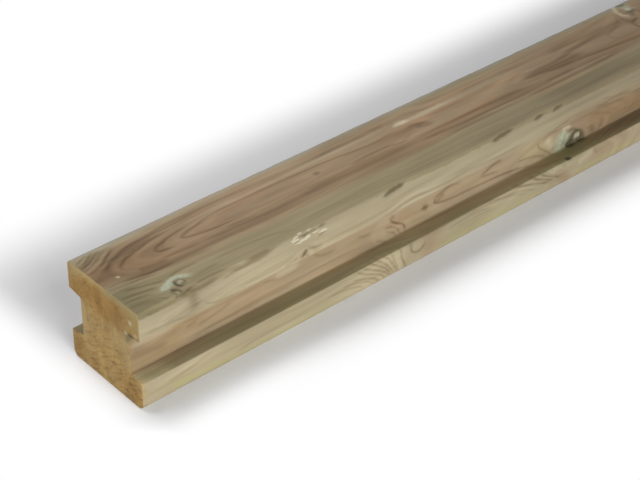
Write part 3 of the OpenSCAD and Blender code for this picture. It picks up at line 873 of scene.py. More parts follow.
# centre, half length, half width, where the hollow lies, its share of the size, mint, dark, depth
KNOTS = [
    ((930, -45, 76), 11.0, 8.0, (2.0, 1.0), 0.7, 0.5, 0.8, 0.5),
    ((1180, 12, 90), 13.0, 9.0, (2.5, -1.5), 0.7, 0.7, 0.8, 0.6),
    ((1420, -45, 12), 11.0, 7.0, (-2.0, 1.0), 0.7, 0.5, 0.8, 0.5),
    ((340, 45, 78), 12.0, 7.0, (3.0, 1.0), 0.7, 0.6, 0.8, 0.6),
    ((760, 45, 14), 10.0, 7.0, (-2.0, 1.0), 0.7, 0.5, 0.9, 0.5),
    ((1260, 30, 45), 12.0, 9.0, (2.0, 2.0), 0.7, 0.5, 0.8, 0.6),
    ((420, 10, 0), 12.0, 9.0, (2.0, 1.0), 0.7, 0.4, 0.8, 0.5),
    ((1010, -14, 0), 12.0, 9.0, (-2.0, 2.0), 0.7, 0.4, 0.8, 0.5),
    ((1560, 20, 0), 11.0, 9.0, (2.0, 1.0), 0.7, 0.4, 0.8, 0.5),
]
halo, core, eye = canvases["mint"], canvases["core"], canvases["eye"]
sunk = core * CORE_DEPTH
for centre, long_way, wide_way, hollow, share, mint, dark, depth in KNOTS:
    on_level_face = abs(centre[2] - post_height) < 1 or abs(centre[2]) < 1
    aside, upward = (hollow[1], 0) if on_level_face else (0, hollow[1])
    inner = (centre[0] + hollow[0], centre[1] + aside, centre[2] + upward)
    core_long, core_wide = long_way * share, wide_way * share
    outside = spot(centre, long_way, wide_way, edge=0.2)
    inside = spot(inner, core_long, core_wide, edge=0.2)
    pith = spot(inner, core_long * PITH_SHARE[0], core_wide * PITH_SHARE[1], edge=0.35)
    halo = np.maximum(halo, outside * (1 - inside) * mint)
    core = np.maximum(core, inside * (1 - pith) * dark)
    eye = np.maximum(eye, pith * (mint > 0))
    sunk = np.maximum(sunk, inside * depth)
core = np.clip(core - eye, 0, 1)
heart = np.maximum(heart, canvases["brown"])
print("knots:", len(KNOTS))

# %% [markdown]
# ## Marks of the planer
# Along the front top corner the knives skipped a few times and left dark untouched scraps, which
# cross the corner at a slant. Near one small knot they tore the fibres out, and those dried
# nearly white. A corner has no face of its own, so these strokes are measured along it and round
# it, where the distance from the corner runs on from the front face over to the top.

# %% Skips and torn fibres
# middle along the post, place round the corner, half length, half width, slope, how dark
SKIPS = [
    (254, -1.8, 11.0, 3.1, 0.14, 1.0), (377.5, -1.9, 12.0, 2.6, 0.12, 1.0),
    (424.5, -1.8, 6.5, 2.6, 0.2, 1.0), (446.5, -1.6, 6.0, 2.4, 0.2, 0.95),
    (177, -1.0, 4.0, 1.6, 0.15, 0.6), (161, -2.4, 5.0, 1.3, 0.12, 0.95),
    (155, -2.4, 5.0, 1.0, 0.1, 0.6), (166, -2.2, 5.0, 1.4, 0.1, 0.45),
    (151, -6.4, 6.0, 0.6, 0.06, 0.45), (177, -9.2, 4.0, 0.9, 0.05, 0.45),
    (41, -0.6, 6.0, 2.2, 0.0, 0.7), (47, 0.8, 4.0, 1.6, 0.3, 0.6),
    (61, -1.2, 11.0, 1.8, 0.05, 0.45), (39, 7.2, 3.0, 1.6, 0.2, 0.6),
]
# the same for the places where fibres are torn out
TORN = [
    (156.0, -7.2, 8.0, 1.4, 0.05), (150.5, -0.8, 3.0, 1.3, 0.1), (156.0, 2.0, 2.4, 1.2, 0.1),
    (163.5, 1.2, 4.2, 1.3, 0.15), (177.5, -7.0, 5.0, 1.1, 0.06), (150.5, -4.2, 4.4, 1.2, 0.08),
    (162.0, -5.6, 3.4, 1.8, 0.1), (171.5, -4.6, 4.0, 0.7, 0.05), (147.0, -2.6, 2.4, 0.8, 0.05),
]
ROUGH_PLACE = ((160, -45, 86), 16, 14, 6)     # the fibres are lifted all round the torn ones
CORNER_DEPTH = 20                             # a skip reaches at most this far down the front


def corner_stroke(middle, beside, half_length, half_width, slope, edge):
    """One inside a slanted stroke over the front top corner, measured along and round it."""
    ahead = (along - middle) / half_length
    aside = (round_corner - beside - slope * (along - middle)) / half_width
    inside = 1 - soft_step(np.sqrt(ahead**2 + aside**2) + ragged * 1.3, 1 - edge, 1 + edge)
    return inside * (from_top < CORNER_DEPTH) * (across < 0)


skip = np.zeros_like(along)
for *stroke, dark in SKIPS:
    skip = np.maximum(skip, corner_stroke(*stroke, edge=0.3) * dark)
torn = np.zeros_like(along)
for stroke in TORN:
    torn = np.maximum(torn, corner_stroke(*stroke, edge=0.45))
torn_place = np.maximum(torn, bells(ROUGH_PLACE, 0.6))
print("points on skips:", int((skip > 0.5).sum()), "torn:", int((torn > 0.5).sum()))

# %% [markdown]
# ## Flecks, stains and painted shade
# Small flecks, pale or dark, are listed one by one where a real stick has them: resin, a bruise
# of the saw, a speck of dirt. The wide dark patches are a water stain on the ledge under the
# knot, and painted shade on the back ledge at the near end and in the corner under the front lip
# at the end.

# %% Flecks and stains
# centre, half length, half width, strength: pale above zero, dark below
FLECKS = [
    ((16.5, 2, 90), 1.3, 1.1, 0.9), ((220, 11, 90), 3.5, 2.4, -0.55), ((324.5, 22.8, 90), 7, 2.9, 0.6),
    ((352, 22, 90), 30, 2.8, 0.4), ((412, 22, 90), 42, 2.6, 0.22), ((240, 25.5, 90), 70, 1.6, 0.2),
    ((470.0, -43.6, 26), 1.4, 1.8, -1.0), ((484, -41, 26), 5.0, 3.0, 0.14),
]
# the same on the sawn end: place across and up, half sizes, strength
END_FLECKS_AND_SHADE = [
    (-33.9, 76.4, 1.9, 2.3, 0.75), (-28.4, 63.8, 2.8, 1.6, 0.8),
    # the dark one at (-33.4, 64.0) is painted shade in the corner under the front lip
    (-33.4, 64.0, 3.6, 2.2, -1.0), (-40, 68, 2.5, 1.5, 0.35), (-30.5, 46.4, 2.4, 1.2, -0.6),
    (-17.7, 22.4, 2.4, 1.4, -0.5), (-9, 24, 3.5, 0.9, -0.35), (16, 63, 2.5, 1.0, -0.35),
    (22, 46, 2.0, 1.2, -0.4), (-14, 39, 2.0, 1.2, -0.35), (-29.7, 16.6, 2.6, 1.6, -0.5),
    (-35.7, 14.4, 3.0, 1.4, -0.5), (-25.4, 7.0, 2.2, 1.8, -0.55), (-31.5, 5.0, 2.2, 1.6, -0.5),
    (-41.5, 17.6, 2.0, 1.2, -0.45), (-38, 9.5, 2.6, 1.2, -0.4), (-21.7, 2.6, 2.4, 1.4, -0.5),
    (-2, 4.5, 3.4, 0.9, -0.45), (12, 2.6, 4.0, 0.9, -0.45), (31, 4.0, 3.4, 1.2, -0.45),
]
END_FLECK_EDGE = (0.5, 1.4)                   # where a fleck starts and stops to fade, in sizes
# painted shade on the back ledge at the near end, a stain on the ledge under the knot, and painted
# shade in the lip's corner on the end
BACK_LEDGE = ((2, 38, 25), 40, 40, 12)
KNOT_LEDGE = ((480, -36, 27), 24, 28, 13)
LIP_CORNER = ((2, -31, 60), 7, 6, 4.5)

fleck_and_shade = np.zeros_like(along)
for *shape, strength in FLECKS:
    fleck_and_shade = fleck_and_shade + spot(*shape, edge=0.5) * strength
fleck_and_shade = (fleck_and_shade + canvases["pale"]) * (1 - on_end)
for middle, up, half_across, half_up, strength in END_FLECKS_AND_SHADE:
    reach = np.sqrt(((across - middle) / half_across) ** 2 + ((height - up) / half_up) ** 2)
    fleck_and_shade = fleck_and_shade + (1 - soft_step(reach + ragged, *END_FLECK_EDGE)) * strength * on_end
# painted shade in the back groove and under the front lip at the near end, and the stain under the knot
stain_and_shade = bells(BACK_LEDGE) * (1 - on_end) + bells(KNOT_LEDGE, 0.55) + bells(LIP_CORNER, 1.1)
stain_and_shade = np.clip(stain_and_shade, 0, 1)
print("flecks:", len(FLECKS), "on the end:", len(END_FLECKS_AND_SHADE))

# %% [markdown]
# ## Relief
# Nothing may stand above the planed faces, so all relief is cut inwards: knots and skips are
# hollows, torn wood is rough, the corners wander a little, and the saw left its ends uneven. The
# near end was also cut a little out of square. Bump in the material could fake most of it, but
# the dents at the corners change the outline, which only real geometry does.

# %% Relief and the finished points
SKIP_DEPTH = 0.9                              # mm
TORN_DEPTH = 0.8
CORNER_DENT = 0.25
CORNER_REACH = 2.0                            # how far from an edge the corner still wanders
END_LEAN = 0.010                              # how far the near end leans back, per mm of height
END_SWING = 0.003                             # and per mm across, from the front
LEAN_STRETCH = 60.0                           # the lean is taken up over this length
TORN_WAVES = (32, (7, 3, 3), 0.6, 12)
CORNER_WAVES = (33, (40, 90, 90), 0.2)
SAW_DEPTH = 0.12
SAW_WAVES = [(41, (50, 3.0, 3.0), 0.06, 16), (42, (50, 9, 60), 0.05, 8)]
SAW_FROM, SAW_FULL = RIM / HALF_WIDTH * 0.9, 0.05  # depth inside the rim, in half widths

torn_relief = np.clip(torn_place * (0.5 + 0.5 * waves(*TORN_WAVES)), 0, 1.2)
from_side = np.minimum(from_front, 2 * HALF_WIDTH - from_front)
corner_wander = np.exp(-(from_side + from_top) / CORNER_REACH)
corner_wander = corner_wander * (CORNER_DENT + waves(*CORNER_WAVES))
relief = sunk + skip * SKIP_DEPTH + torn_relief * TORN_DEPTH + np.clip(corner_wander, 0, 1)
relief = relief * (row_size[:, None] >= 1.0)
saw = SAW_DEPTH + waves(*SAW_WAVES[0]) + waves(*SAW_WAVES[1])
inside_rim = soft_step(1 - row_size, SAW_FROM, SAW_FULL)[:, None]
end_pull = np.clip(saw, 0, 0.5) * inside_rim
lean = END_LEAN * height + END_SWING * from_front
near_share = np.clip(1 - row_x / LEAN_STRETCH, 0, 1)[:, None]
facing = np.sign(row_x - post_length / 2)[:, None]
point_x = along + lean * near_share - end_pull * facing
point_y = across - outward[None, :, 0] * relief
point_z = height - outward[None, :, 1] * relief
points = np.stack([point_x + NEAR_END, point_y, point_z], axis=-1)
print("relief up to", relief.max().round(2), "mm")

# %% [markdown]
# ## Lighter and darker stretches
# A stick is never equally light from end to end. A slow curve along the length carries most of
# that; its darker stretch from about 300 to 700 mm is partly the wood's own tone and partly
# painted shade, where the light falls off away from the near end. Soft patches add what the curve
# cannot, two of them painted shade at the foot of the front web, and a few strips of single faces
# are lighter or darker between two places. The ledge of the front groove gets painted light of
# its own, most near the near end. All of them multiply one number, which the material multiplies
# its colour by in the end.

# %% How light the wood is
# the wood's own tone along the post; from about 300 to 700 mm it is partly painted shade, where the light
# falls off away from the near end
LIGHT_ALONG = [(-20, 1.0), (60, 1.02), (240, 0.99), (330, 0.93), (440, 0.90), (520, 0.80), (640, 0.82),
               (800, 0.92), (1100, 0.88), (1500, 0.94), (1820, 0.90)]
# painted light on the ledge of the front groove, which only gets light thrown back by the floor;
# most of it near the near end, where light reaches in under the lip
LEDGE_PAINTED_LIGHT = [(-20, 1.15), (5, 1.15), (24, 1.10), (40, 1.04), (240, 1.04), (290, 1.12), (430, 1.14),
               (470, 1.16), (505, 1.1), (530, 1.0), (1820, 1.0)]
LIGHT_WAVES = (51, (120, 40, 40), 0.025)
# patches a little lighter or darker: centre, near, far and round reach, share
SHADE_PATCHES = [
    ((405, -45, 20), 55, 40, 5, 0.15), ((475, -45, 14), 22, 22, 5, 0.10),
    ((175, -45, 9), 30, 30, 5, -0.13), ((325, -45, 9), 30, 30, 5, -0.10),
    ((4, -30, 48), 15, 12, 6, -0.13), ((282, -30, 34), 20, 18, 7, 0.16),
    # these two darken the foot of the front web, where it meets the ledge: painted shade in that inner
    # corner
    ((65, -30, 28.5), 20, 20, 3.5, -0.18), ((375, -30, 28), 80, 70, 3, -0.13),
    ((8, 18, 90), 20, 13, 13, 0.13), ((10, -7, 90), 20, 22, 7, -0.11),
    ((75, -18, 90), 22, 24, 4.5, 0.13), ((330, 11, 90), 34, 34, 8, 0.10),
    ((210, 14, 90), 40, 40, 6, 0.08), ((465, 30, 90), 45, 45, 6, 0.10),
    ((530, 13, 90), 38, 38, 6, -0.10), ((395, -41, 90), 45, 45, 4, -0.14),
    ((62, 18, 90), 28, 32, 8, -0.08), ((240, -45, 73), 30, 30, 5, 0.10),
    ((50, -45, 67.5), 14, 14, 4, -0.11),
]
BAND_PATCH = ((395, 9, 90), 60, 60, 11)       # the far half of the top's brown band


def beyond(start, end):
    """Zero before one place along the post, one after another, and a smooth step between."""
    return soft_step(along, start, end)


def short_of(start, end):
    """The other way round: one, and then zero."""
    return 1 - beyond(start, end)


top_near_end = on_top * np.exp(-((along / 30.0) ** 2)) * (1 - on_end)
flange, lower = FACES["flange"][0], FACES["lower"][0]
pale_flange = flange * (1 - on_top)
upper_flange = pale_flange * (1 - soft_step(from_top, 9, 19))
top_front = on_top * soft_step(-across, 22, 30)
top_corner = on_top * soft_step(-across, 31, 35)
top_back = on_top * soft_step(across, 32, 38)
diving_rings = lower * np.exp(-(((along - 243) / 30) ** 2))
shade_strips = [
    -top_near_end * (0.06 + 0.28 * soft_step(-across, 8, 18)),
    -upper_flange * (0.08 + 0.07 * beyond(320, 400)),
    -0.05 * pale_flange * beyond(320, 400),
    0.13 * lower * beyond(455, 485),
    0.08 * lower * short_of(55, 80),
    0.12 * diving_rings,
    -0.10 * top_front * beyond(240, 300),
    -0.16 * top_front * beyond(430, 480),
    -0.05 * top_corner * short_of(360, 420),
    -bells(BAND_PATCH, 0.09),
    0.08 * top_back * short_of(80, 140),
]
on_ledge = (np.abs(height - mouth_low) < 2.0) * (1 - on_end)
on_ledge = on_ledge * (across < -GROOVE_ROOT - 0.6) * (across > 0.4 - HALF_WIDTH)
lightness = smooth_curve(along, LIGHT_ALONG)
for *shape, share in SHADE_PATCHES:
    lightness = lightness * (1 + bells(shape, share))
lightness = lightness + waves(*LIGHT_WAVES)
for share in shade_strips:
    lightness = lightness * (1 + share)
# painted light on the ledge of the front groove
lightness = lightness * (1 + on_ledge * (smooth_curve(along, LEDGE_PAINTED_LIGHT) - 1))
print("lightness:", lightness.min().round(2), "to", lightness.max().round(2))

# %% [markdown]
# ## Brown, pale, ashen and yellow casts
# The middle of the top's near end is browner than the rest of the heartwood, and so is the upper
# part of the sawn end. The edge of the end is paler, the back strip of the top has greyed, and the
# ledge in the groove is a little yellow. The last number, the contrast, says how clearly the grain
# shows at all: most in the heartwood, least in the sapwood.

# %% Casts
BELOW_MIDDLE = ((300, -9, 90), 330, 900, 9)
INSIDE_LOOPS = ((44, 9, 90), 30, 42, 17)
LEDGE_YELLOW = ((482, -37, 26), 26, 26, 12)
CLEAR_GRAIN = ((250, -45, 12), 50, 45, 30)
ASH_WAVES = (52, (60, 9, 9), 0.2)
HALF_WEB = 17                                 # half the height of the groove's floor, mm

browned = top_near_end + on_top * bells(BELOW_MIDDLE, 0.65) + on_top * bells(INSIDE_LOOPS)
browned = np.clip(browned, 0, 1.2) * (1 - on_end)
upper_end = soft_step(height, 56, 64) * (1 - soft_step(height, 82, 88))
browned = browned + on_end * np.clip(rusty * 1.1 + upper_end * 0.4 + low_corner, 0, 1)
top_edge = np.exp(-((from_top / 3.2) ** 2))
front_edge = np.exp(-((from_front / 2.6) ** 2)) * (height > mouth_high)
web_edge = np.exp(-(((np.abs(across) - 28) / 3.5) ** 2)) * (np.abs(height - GROOVE_MIDDLE) < HALF_WEB)
rim = top_edge + front_edge + 0.8 * web_edge + end_patches(PALE_PATCHES)
rim = np.clip(rim, 0, 1) * on_end
ashen = on_top * soft_step(across, 36.5, 41.5) * (0.8 + waves(*ASH_WAVES))
yellowed = canvases["yellow"] + 0.28 * top_near_end * soft_step(-across, 10, 18)
yellowed = yellowed + on_ledge * (0.22 + bells(LEDGE_YELLOW, 0.5))
contrast = 0.45 + 0.55 * heart + bells(CLEAR_GRAIN, 0.6)
contrast = contrast + 0.3 * on_top * np.exp(-((along / 45.0) ** 2))
print("ashen points:", int((ashen > 0.5).sum()), "pale rim points:", int((rim > 0.5).sum()))

# %% [markdown]
# ## Making the mesh
# The grid becomes quads in one array operation: each quad joins two neighbouring columns in two
# neighbouring rows, and the last column joins the first. One thin face closes each end. The
# tints go with the mesh, three to an attribute, where a shader can read them. Painting them would
# need an unwrapped mesh, and a painted tint would not follow a ring round a corner.

# %% Mesh
def closed_skin(name, grid):
    """A periodic grid of points (rows, columns, 3) in metres, made a mesh closed at both ends."""
    rows, columns, _ = grid.shape
    index = np.arange(rows * columns).reshape(rows, columns)
    following = np.roll(index, -1, axis=1)
    quads = np.stack([index[:-1], following[:-1], following[1:], index[1:]], axis=-1).reshape(-1, 4)
    caps = [index[0][::-1], index[-1]]
    corners = np.concatenate([quads.ravel(), *caps])
    sizes = np.concatenate([np.full(len(quads), 4), [columns, columns]])
    starts = np.concatenate([[0], np.cumsum(sizes)[:-1]])
    mesh = bpy.data.meshes.new(name)
    mesh.vertices.add(rows * columns)
    mesh.vertices.foreach_set("co", grid.reshape(-1).astype(np.float32))
    mesh.loops.add(len(corners))
    mesh.loops.foreach_set("vertex_index", corners.astype(np.int32))
    mesh.polygons.add(len(sizes))
    mesh.polygons.foreach_set("loop_start", starts.astype(np.int32))
    mesh.polygons.foreach_set("use_smooth", np.ones(len(sizes), bool))
    mesh.update(calc_edges=True)
    mesh.validate()
    return mesh


def store(mesh, name, values):
    """Keeps one number, or three, for every point of the mesh under a name."""
    kind = "FLOAT" if values.ndim == 2 else "FLOAT_VECTOR"
    layer = mesh.attributes.new(name, kind, "POINT")
    field = "value" if kind == "FLOAT" else "vector"
    layer.data.foreach_set(field, values.reshape(-1).astype(np.float32))


post_mesh = closed_skin("timber_post", points * MM)
store(post_mesh, "years", years)
store(post_mesh, "tints", np.stack([heart, olive, golden], axis=-1))
store(post_mesh, "knots", np.stack([halo, core, eye], axis=-1))
store(post_mesh, "loose", np.stack([torn, fleck_and_shade, rim], axis=-1))
store(post_mesh, "marks", np.stack([skip, stain_and_shade, contrast], axis=-1))
warmth = canvases["warm"] - yellowed          # brownish above zero, yellow below
store(post_mesh, "lines", np.stack([canvases["line"], rings, warmth], axis=-1))
store(post_mesh, "shade", np.stack([lightness, browned, ashen], axis=-1))
post = bpy.data.objects.new("timber_post", post_mesh)
bpy.context.collection.objects.link(post)
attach(post, "root")
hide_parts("post")
print("faces:", len(post_mesh.polygons))

# %% [markdown]
# ## A short way to write materials
# A material is a formula. Written as nodes and links it is hard to read, so one small class
# wraps a socket and lets +, - and * add the Math nodes. Every other node comes from `node`, which
# works the same for a material and for the world.

# %% Sockets that can be calculated with
class Value:
    """A number that varies over the surface, with the operators that this file uses."""

    def __init__(self, socket, make):
        self.socket = socket
        self.make = make

    def math(self, operation, *others):
        return self.make.node("ShaderNodeMath", {"operation": operation}, self, *others)

    def __add__(self, other):
        return self.math("ADD", other)

    __radd__ = __add__

    def __mul__(self, other):
        return self.math("MULTIPLY", other)

    __rmul__ = __mul__

    def __sub__(self, other):
        return self.math("SUBTRACT", other)

    def __rsub__(self, other):
        return (self * -1.0) + other

    def clamp(self):
        return self.math("MAXIMUM", 0.0).math("MINIMUM", 1.0)

    def step(self, start, end):
        """Zero before the start, one after the end, smooth between."""
        sockets = {"From Min": start, "From Max": end, "To Min": 0.0, "To Max": 1.0}
        return self.make.node(
            "ShaderNodeMapRange", {"interpolation_type": "SMOOTHSTEP"}, self, **sockets
        )


class Make:
    """Adds nodes to one material, or to the world."""

    def __init__(self, holder):
        self.holder = holder
        holder.use_nodes = True
        self.tree = holder.node_tree
        self.tree.nodes.clear()

    def node(self, kind, settings, *inputs, output=0, **named):
        """Any node: its type, its settings, then values or links for its sockets, counted or
        named. What comes back is one of its outputs."""
        made = self.tree.nodes.new(kind)
        for key, value in settings.items():
            setattr(made, key, value)
        for key, value in [*enumerate(inputs), *named.items()]:
            socket = made.inputs[key]
            if isinstance(value, Value):
                self.tree.links.new(value.socket, socket)
            elif value is not None:
                socket.default_value = value
        return Value(made.outputs[output] if made.outputs else None, self)

    def stored(self, name):
        """The numbers that the mesh keeps under a name, as one value and as three."""
        kind = {"attribute_name": name, "attribute_type": "GEOMETRY"}
        fac = self.node("ShaderNodeAttribute", kind, output="Fac")
        made = fac.socket.node
        parts = self.node("ShaderNodeSeparateXYZ", {}, Value(made.outputs["Vector"], self))
        return fac, [Value(parts.socket.node.outputs[i], self) for i in range(3)]

    def mix(self, share, first, second, blend="MIX"):
        """Two colours mixed by a share."""
        made = self.tree.nodes.new("ShaderNodeMix")
        made.data_type = "RGBA"
        made.blend_type = blend
        for place, value in ((0, share), (6, first), (7, second)):
            if isinstance(value, Value):
                self.tree.links.new(value.socket, made.inputs[place])
            elif place:
                made.inputs[place].default_value = opaque(value)
            else:
                made.inputs[place].default_value = value
        return Value(made.outputs[2], self)

    def noise(self, places, scale, detail=2.0):
        """Noise between 0 and 1 whose blobs are 1/scale long on each axis, in metres."""
        stretched = self.node("ShaderNodeMapping", {}, places, Scale=scale)
        settings = {"noise_dimensions": "3D"}
        return self.node("ShaderNodeTexNoise", settings, stretched, Scale=1.0, Detail=detail)


def opaque(colour):
    """A colour with the fourth number that a colour socket wants."""
    return (*colour, 1.0)


print("material helpers ready")

# %% [markdown]
# ## The grain in the material
# Within each year the wood starts pale and ends in a narrow dark line, so the fraction of the
# year gives the line. Some years draw strong lines and some faint ones: a random number for each
# whole year decides. Bands follow the years too, because their noise is read at (place along the
# post, years) and not at the point itself. Fibres, streaks and blotches are noises stretched along
# the stick; a speckle the same size each way makes the end grain.

# %% Grain
wood = Make(bpy.data.materials.new("treated_wood"))
object_places = wood.node("ShaderNodeTexCoord", {}, output="Object")
year_count, _ = wood.stored("years")
_, (is_heart, is_olive, is_golden) = wood.stored("tints")
_, (is_halo, is_core, is_eye) = wood.stored("knots")
_, (is_torn, fleck_and_shade_share, is_rim) = wood.stored("loose")
_, (is_skip, is_stain_and_shade, contrast) = wood.stored("marks")
_, (is_drawn, ring_share, warmth) = wood.stored("lines")
_, (lightness, is_browned, is_ashen) = wood.stored("shade")

FIBRE_WANDER = 0.014                          # m, how far the fibres stray to each side
YEAR_WOBBLE = 0.22                            # years
# when in the year the dark wood starts, is at its darkest, holds until, and has ended
LATE_START, LATE_FULL, LATE_HOLD, LATE_END = 0.35, 0.90, 0.93, 1.0
METRES_A_YEAR = 0.01                          # of the noise that the bands read

wander = wood.noise(object_places, (6.0, 22.0, 22.0), 1.0) - 0.5
sideways = wander * FIBRE_WANDER
drift = wood.node("ShaderNodeCombineXYZ", {}, 0.0, sideways, sideways)
grain = wood.node("ShaderNodeVectorMath", {"operation": "ADD"}, object_places, drift)

wobble = wood.noise(grain, (26.0, 240.0, 240.0)) - 0.5
year = year_count + wobble * YEAR_WOBBLE
fraction = year.math("FRACT")
late = fraction.step(LATE_START, LATE_FULL) * (1.0 - fraction.step(LATE_HOLD, LATE_END))
whole = year.math("FLOOR")
chance = wood.node("ShaderNodeTexWhiteNoise", {"noise_dimensions": "1D"}, W=whole + 0.5)
fading = wood.noise(grain, (8.0, 60.0, 60.0), 1.0)
line = late * (chance * 0.6 + 0.4) * (fading.step(0.30, 0.62) * 0.8 + 0.2)
place_along = wood.node("ShaderNodeSeparateXYZ", {}, object_places)
years_apart = year_count * METRES_A_YEAR
ring_places = wood.node("ShaderNodeCombineXYZ", {}, place_along, years_apart, 0.0)
band = wood.noise(ring_places, (5.0, 70.0, 1.0)) - 0.5
narrow_band = wood.noise(ring_places, (16.0, 330.0, 1.0)) - 0.5
fibres = wood.noise(grain, (13.0, 800.0, 800.0), 3.0) - 0.5
streaks = wood.noise(grain, (6.0, 210.0, 210.0), 3.0) - 0.5
blush = wood.noise(grain, (13.0, 110.0, 110.0)) - 0.5
blotch = wood.noise(object_places, (11.0, 40.0, 40.0)) - 0.5
speckle = wood.noise(object_places, (430.0, 430.0, 430.0)) - 0.5
grit = wood.noise(object_places, (800.0, 800.0, 800.0), 1.0) - 0.5
patches = wood.noise(object_places, (60.0, 90.0, 70.0)) - 0.5
tears = wood.noise(object_places, (240.0, 520.0, 520.0), 1.0) - 0.5
print("grain nodes:", len(wood.tree.nodes))

# %% [markdown]
# ## The colour of the long faces
# Each kind of wood has a pale and a dark colour, and one number, the darkness, mixes the two. It
# is the sum of all the grain noises and the year lines. Heartwood is pinkish brown, sapwood khaki,
# and the treated top olive. Casts such as brown or ink multiply the colour below them, so that the
# grain shows through; yellow and ash are thin coats of a colour of their own.

# %% Side colour
HEART_PALE, HEART_DARK = (0.400, 0.290, 0.176), (0.135, 0.085, 0.045)
SAP_PALE, SAP_DARK = (0.432, 0.370, 0.238), (0.200, 0.150, 0.074)
OLIVE_PALE, OLIVE_DARK = (0.368, 0.300, 0.175), (0.148, 0.118, 0.057)
# what these casts multiply the wood by
BLUSH_CAST = (1.0, 0.89, 0.82)
BROWN_CAST = (0.76, 0.70, 0.62)
INK_CAST = (0.42, 0.33, 0.24)
WARM_CAST = (0.84, 0.79, 0.68)
# and what these coats turn it to
YELLOW_COAT = (0.38, 0.37, 0.13)
ASH_COAT = (0.32, 0.305, 0.26)

# how dark the wood is without its year lines, from its mean
shading = band * 1.0 + narrow_band * 0.35 + streaks * 0.35 + fibres * 0.35 + blotch * 0.8
side_dark = line * 0.62 * contrast * ring_share + shading * (contrast * 0.6 + 0.4) + 0.22
side_dark = side_dark.clamp()
sap = wood.mix(side_dark, SAP_PALE, SAP_DARK)
sap = wood.mix(is_olive, sap, wood.mix(side_dark, OLIVE_PALE, OLIVE_DARK))
heartwood = wood.mix(side_dark, HEART_PALE, HEART_DARK)
heartwood = wood.mix((blush * 3.6).clamp(), heartwood, BLUSH_CAST, "MULTIPLY")
heartwood = wood.mix(is_browned, heartwood, BROWN_CAST, "MULTIPLY")
inked = (is_drawn * (streaks * 1.4 + 1.2)).clamp()
side_colour = wood.mix(is_heart, sap, heartwood)
side_colour = wood.mix(inked, side_colour, INK_CAST, "MULTIPLY")
side_colour = wood.mix(warmth.clamp(), side_colour, WARM_CAST, "MULTIPLY")
side_colour = wood.mix((warmth * -0.6).clamp(), side_colour, YELLOW_COAT)
side_colour = wood.mix(is_ashen * 0.7, side_colour, ASH_COAT)
print("with the side colour:", len(wood.tree.nodes))

# %% [markdown]
# ## The colour of the sawn ends
# Here the fibres are seen from the end, so the grain is a fine speckle with open pores, and short
# slanting dashes where the saw's teeth dragged, most of them low down.

# %% End colour
GOLD_PALE, GOLD_DARK = (0.500, 0.343, 0.128), (0.185, 0.088, 0.022)
RUST_CAST = (0.80, 0.69, 0.54)
RIM_COAT = (0.47, 0.37, 0.19)
END_OLIVE_COAT = (0.34, 0.29, 0.13)
SAW_SLANT = math.radians(29.7)
LOW_PART = (0.034, 0.056)                     # m, the dashes are strongest below this

level = wood.node("ShaderNodeSeparateXYZ", {}, object_places, output=2)
low_down = 1.0 - level.step(*LOW_PART)
slanting = wood.node("ShaderNodeMapping", {}, object_places, Rotation=(SAW_SLANT, 0.0, 0.0))
dashes = wood.noise(slanting, (60.0, 75.0, 350.0), 1.0).step(0.48, 0.66)
pores = speckle.step(0.13, 0.24)
end_dark = (speckle * 0.55 + grit * 0.4 + pores * 0.14) * ring_share + patches * 0.75 + 0.27
end_dark = (end_dark + dashes * (low_down * 0.16 + 0.08) + line * 0.15).clamp()
end_colour = wood.mix(end_dark, GOLD_PALE, GOLD_DARK)
end_colour = wood.mix(is_browned, end_colour, RUST_CAST, "MULTIPLY")
end_colour = wood.mix(is_rim * 0.5, end_colour, RIM_COAT)
end_colour = wood.mix(is_olive * 0.5, end_colour, END_OLIVE_COAT)
print("with the end colour:", len(wood.tree.nodes))

# %% [markdown]
# ## Knots, flecks and scraps over both
# What is left lies on top of the wood in layers, each with its own flat colour and its own share.
# The surface is dry and planed: rough, with a dull sheen, slightly smoother on the hard late wood.

# %% The finished wood
MINT_LIGHT, MINT_SHADE = (0.48, 0.54, 0.40), (0.31, 0.36, 0.25)
CORE_BROWN = (0.050, 0.043, 0.021)
EYE_GREY = (0.47, 0.45, 0.33)
PALE_FLECK = (0.56, 0.49, 0.34)
# also the colour of the painted shade in the corner under the front lip on the end
DARK_FLECK_AND_SHADE = (0.115, 0.085, 0.045)
SKIP_BROWN = (0.122, 0.098, 0.048)
TORN_PALE = (0.56, 0.50, 0.365)
# also the colour of the painted shade in the grooves at the near end
STAIN_AND_SHADE_BROWN = (0.115, 0.105, 0.050)
ROUGHNESS = 0.72
BUMP_STRENGTH, BUMP_DEPTH = 0.25, 0.0006      # the depth in m
SHEEN_LEVEL = 0.25

mint = wood.mix((speckle * 2.0 + 0.4).clamp(), MINT_LIGHT, MINT_SHADE)
shreds = (is_torn + tears * 1.3 - 0.12).step(0.2, 0.7)
grey = wood.node("ShaderNodeCombineXYZ", {}, lightness, lightness, lightness)
colour = wood.mix(is_golden, side_colour, end_colour)
colour = wood.mix(1.0, colour, grey, "MULTIPLY")
for cover, coat in [
    (is_halo * 0.92, mint),
    ((is_core * 1.2).clamp(), CORE_BROWN),
    (is_eye, EYE_GREY),
    (fleck_and_shade_share.clamp(), PALE_FLECK),
    # dark flecks, and painted shade in the corner under the front lip on the end
    ((fleck_and_shade_share * -1.0).clamp(), DARK_FLECK_AND_SHADE),
    (is_skip * 0.92, SKIP_BROWN),
    (shreds * 0.85, TORN_PALE),
    # the stain under the knot, and painted shade in the back groove and under the front lip
    (is_stain_and_shade * 0.8, STAIN_AND_SHADE_BROWN),
]:
    colour = wood.mix(cover, colour, coat)

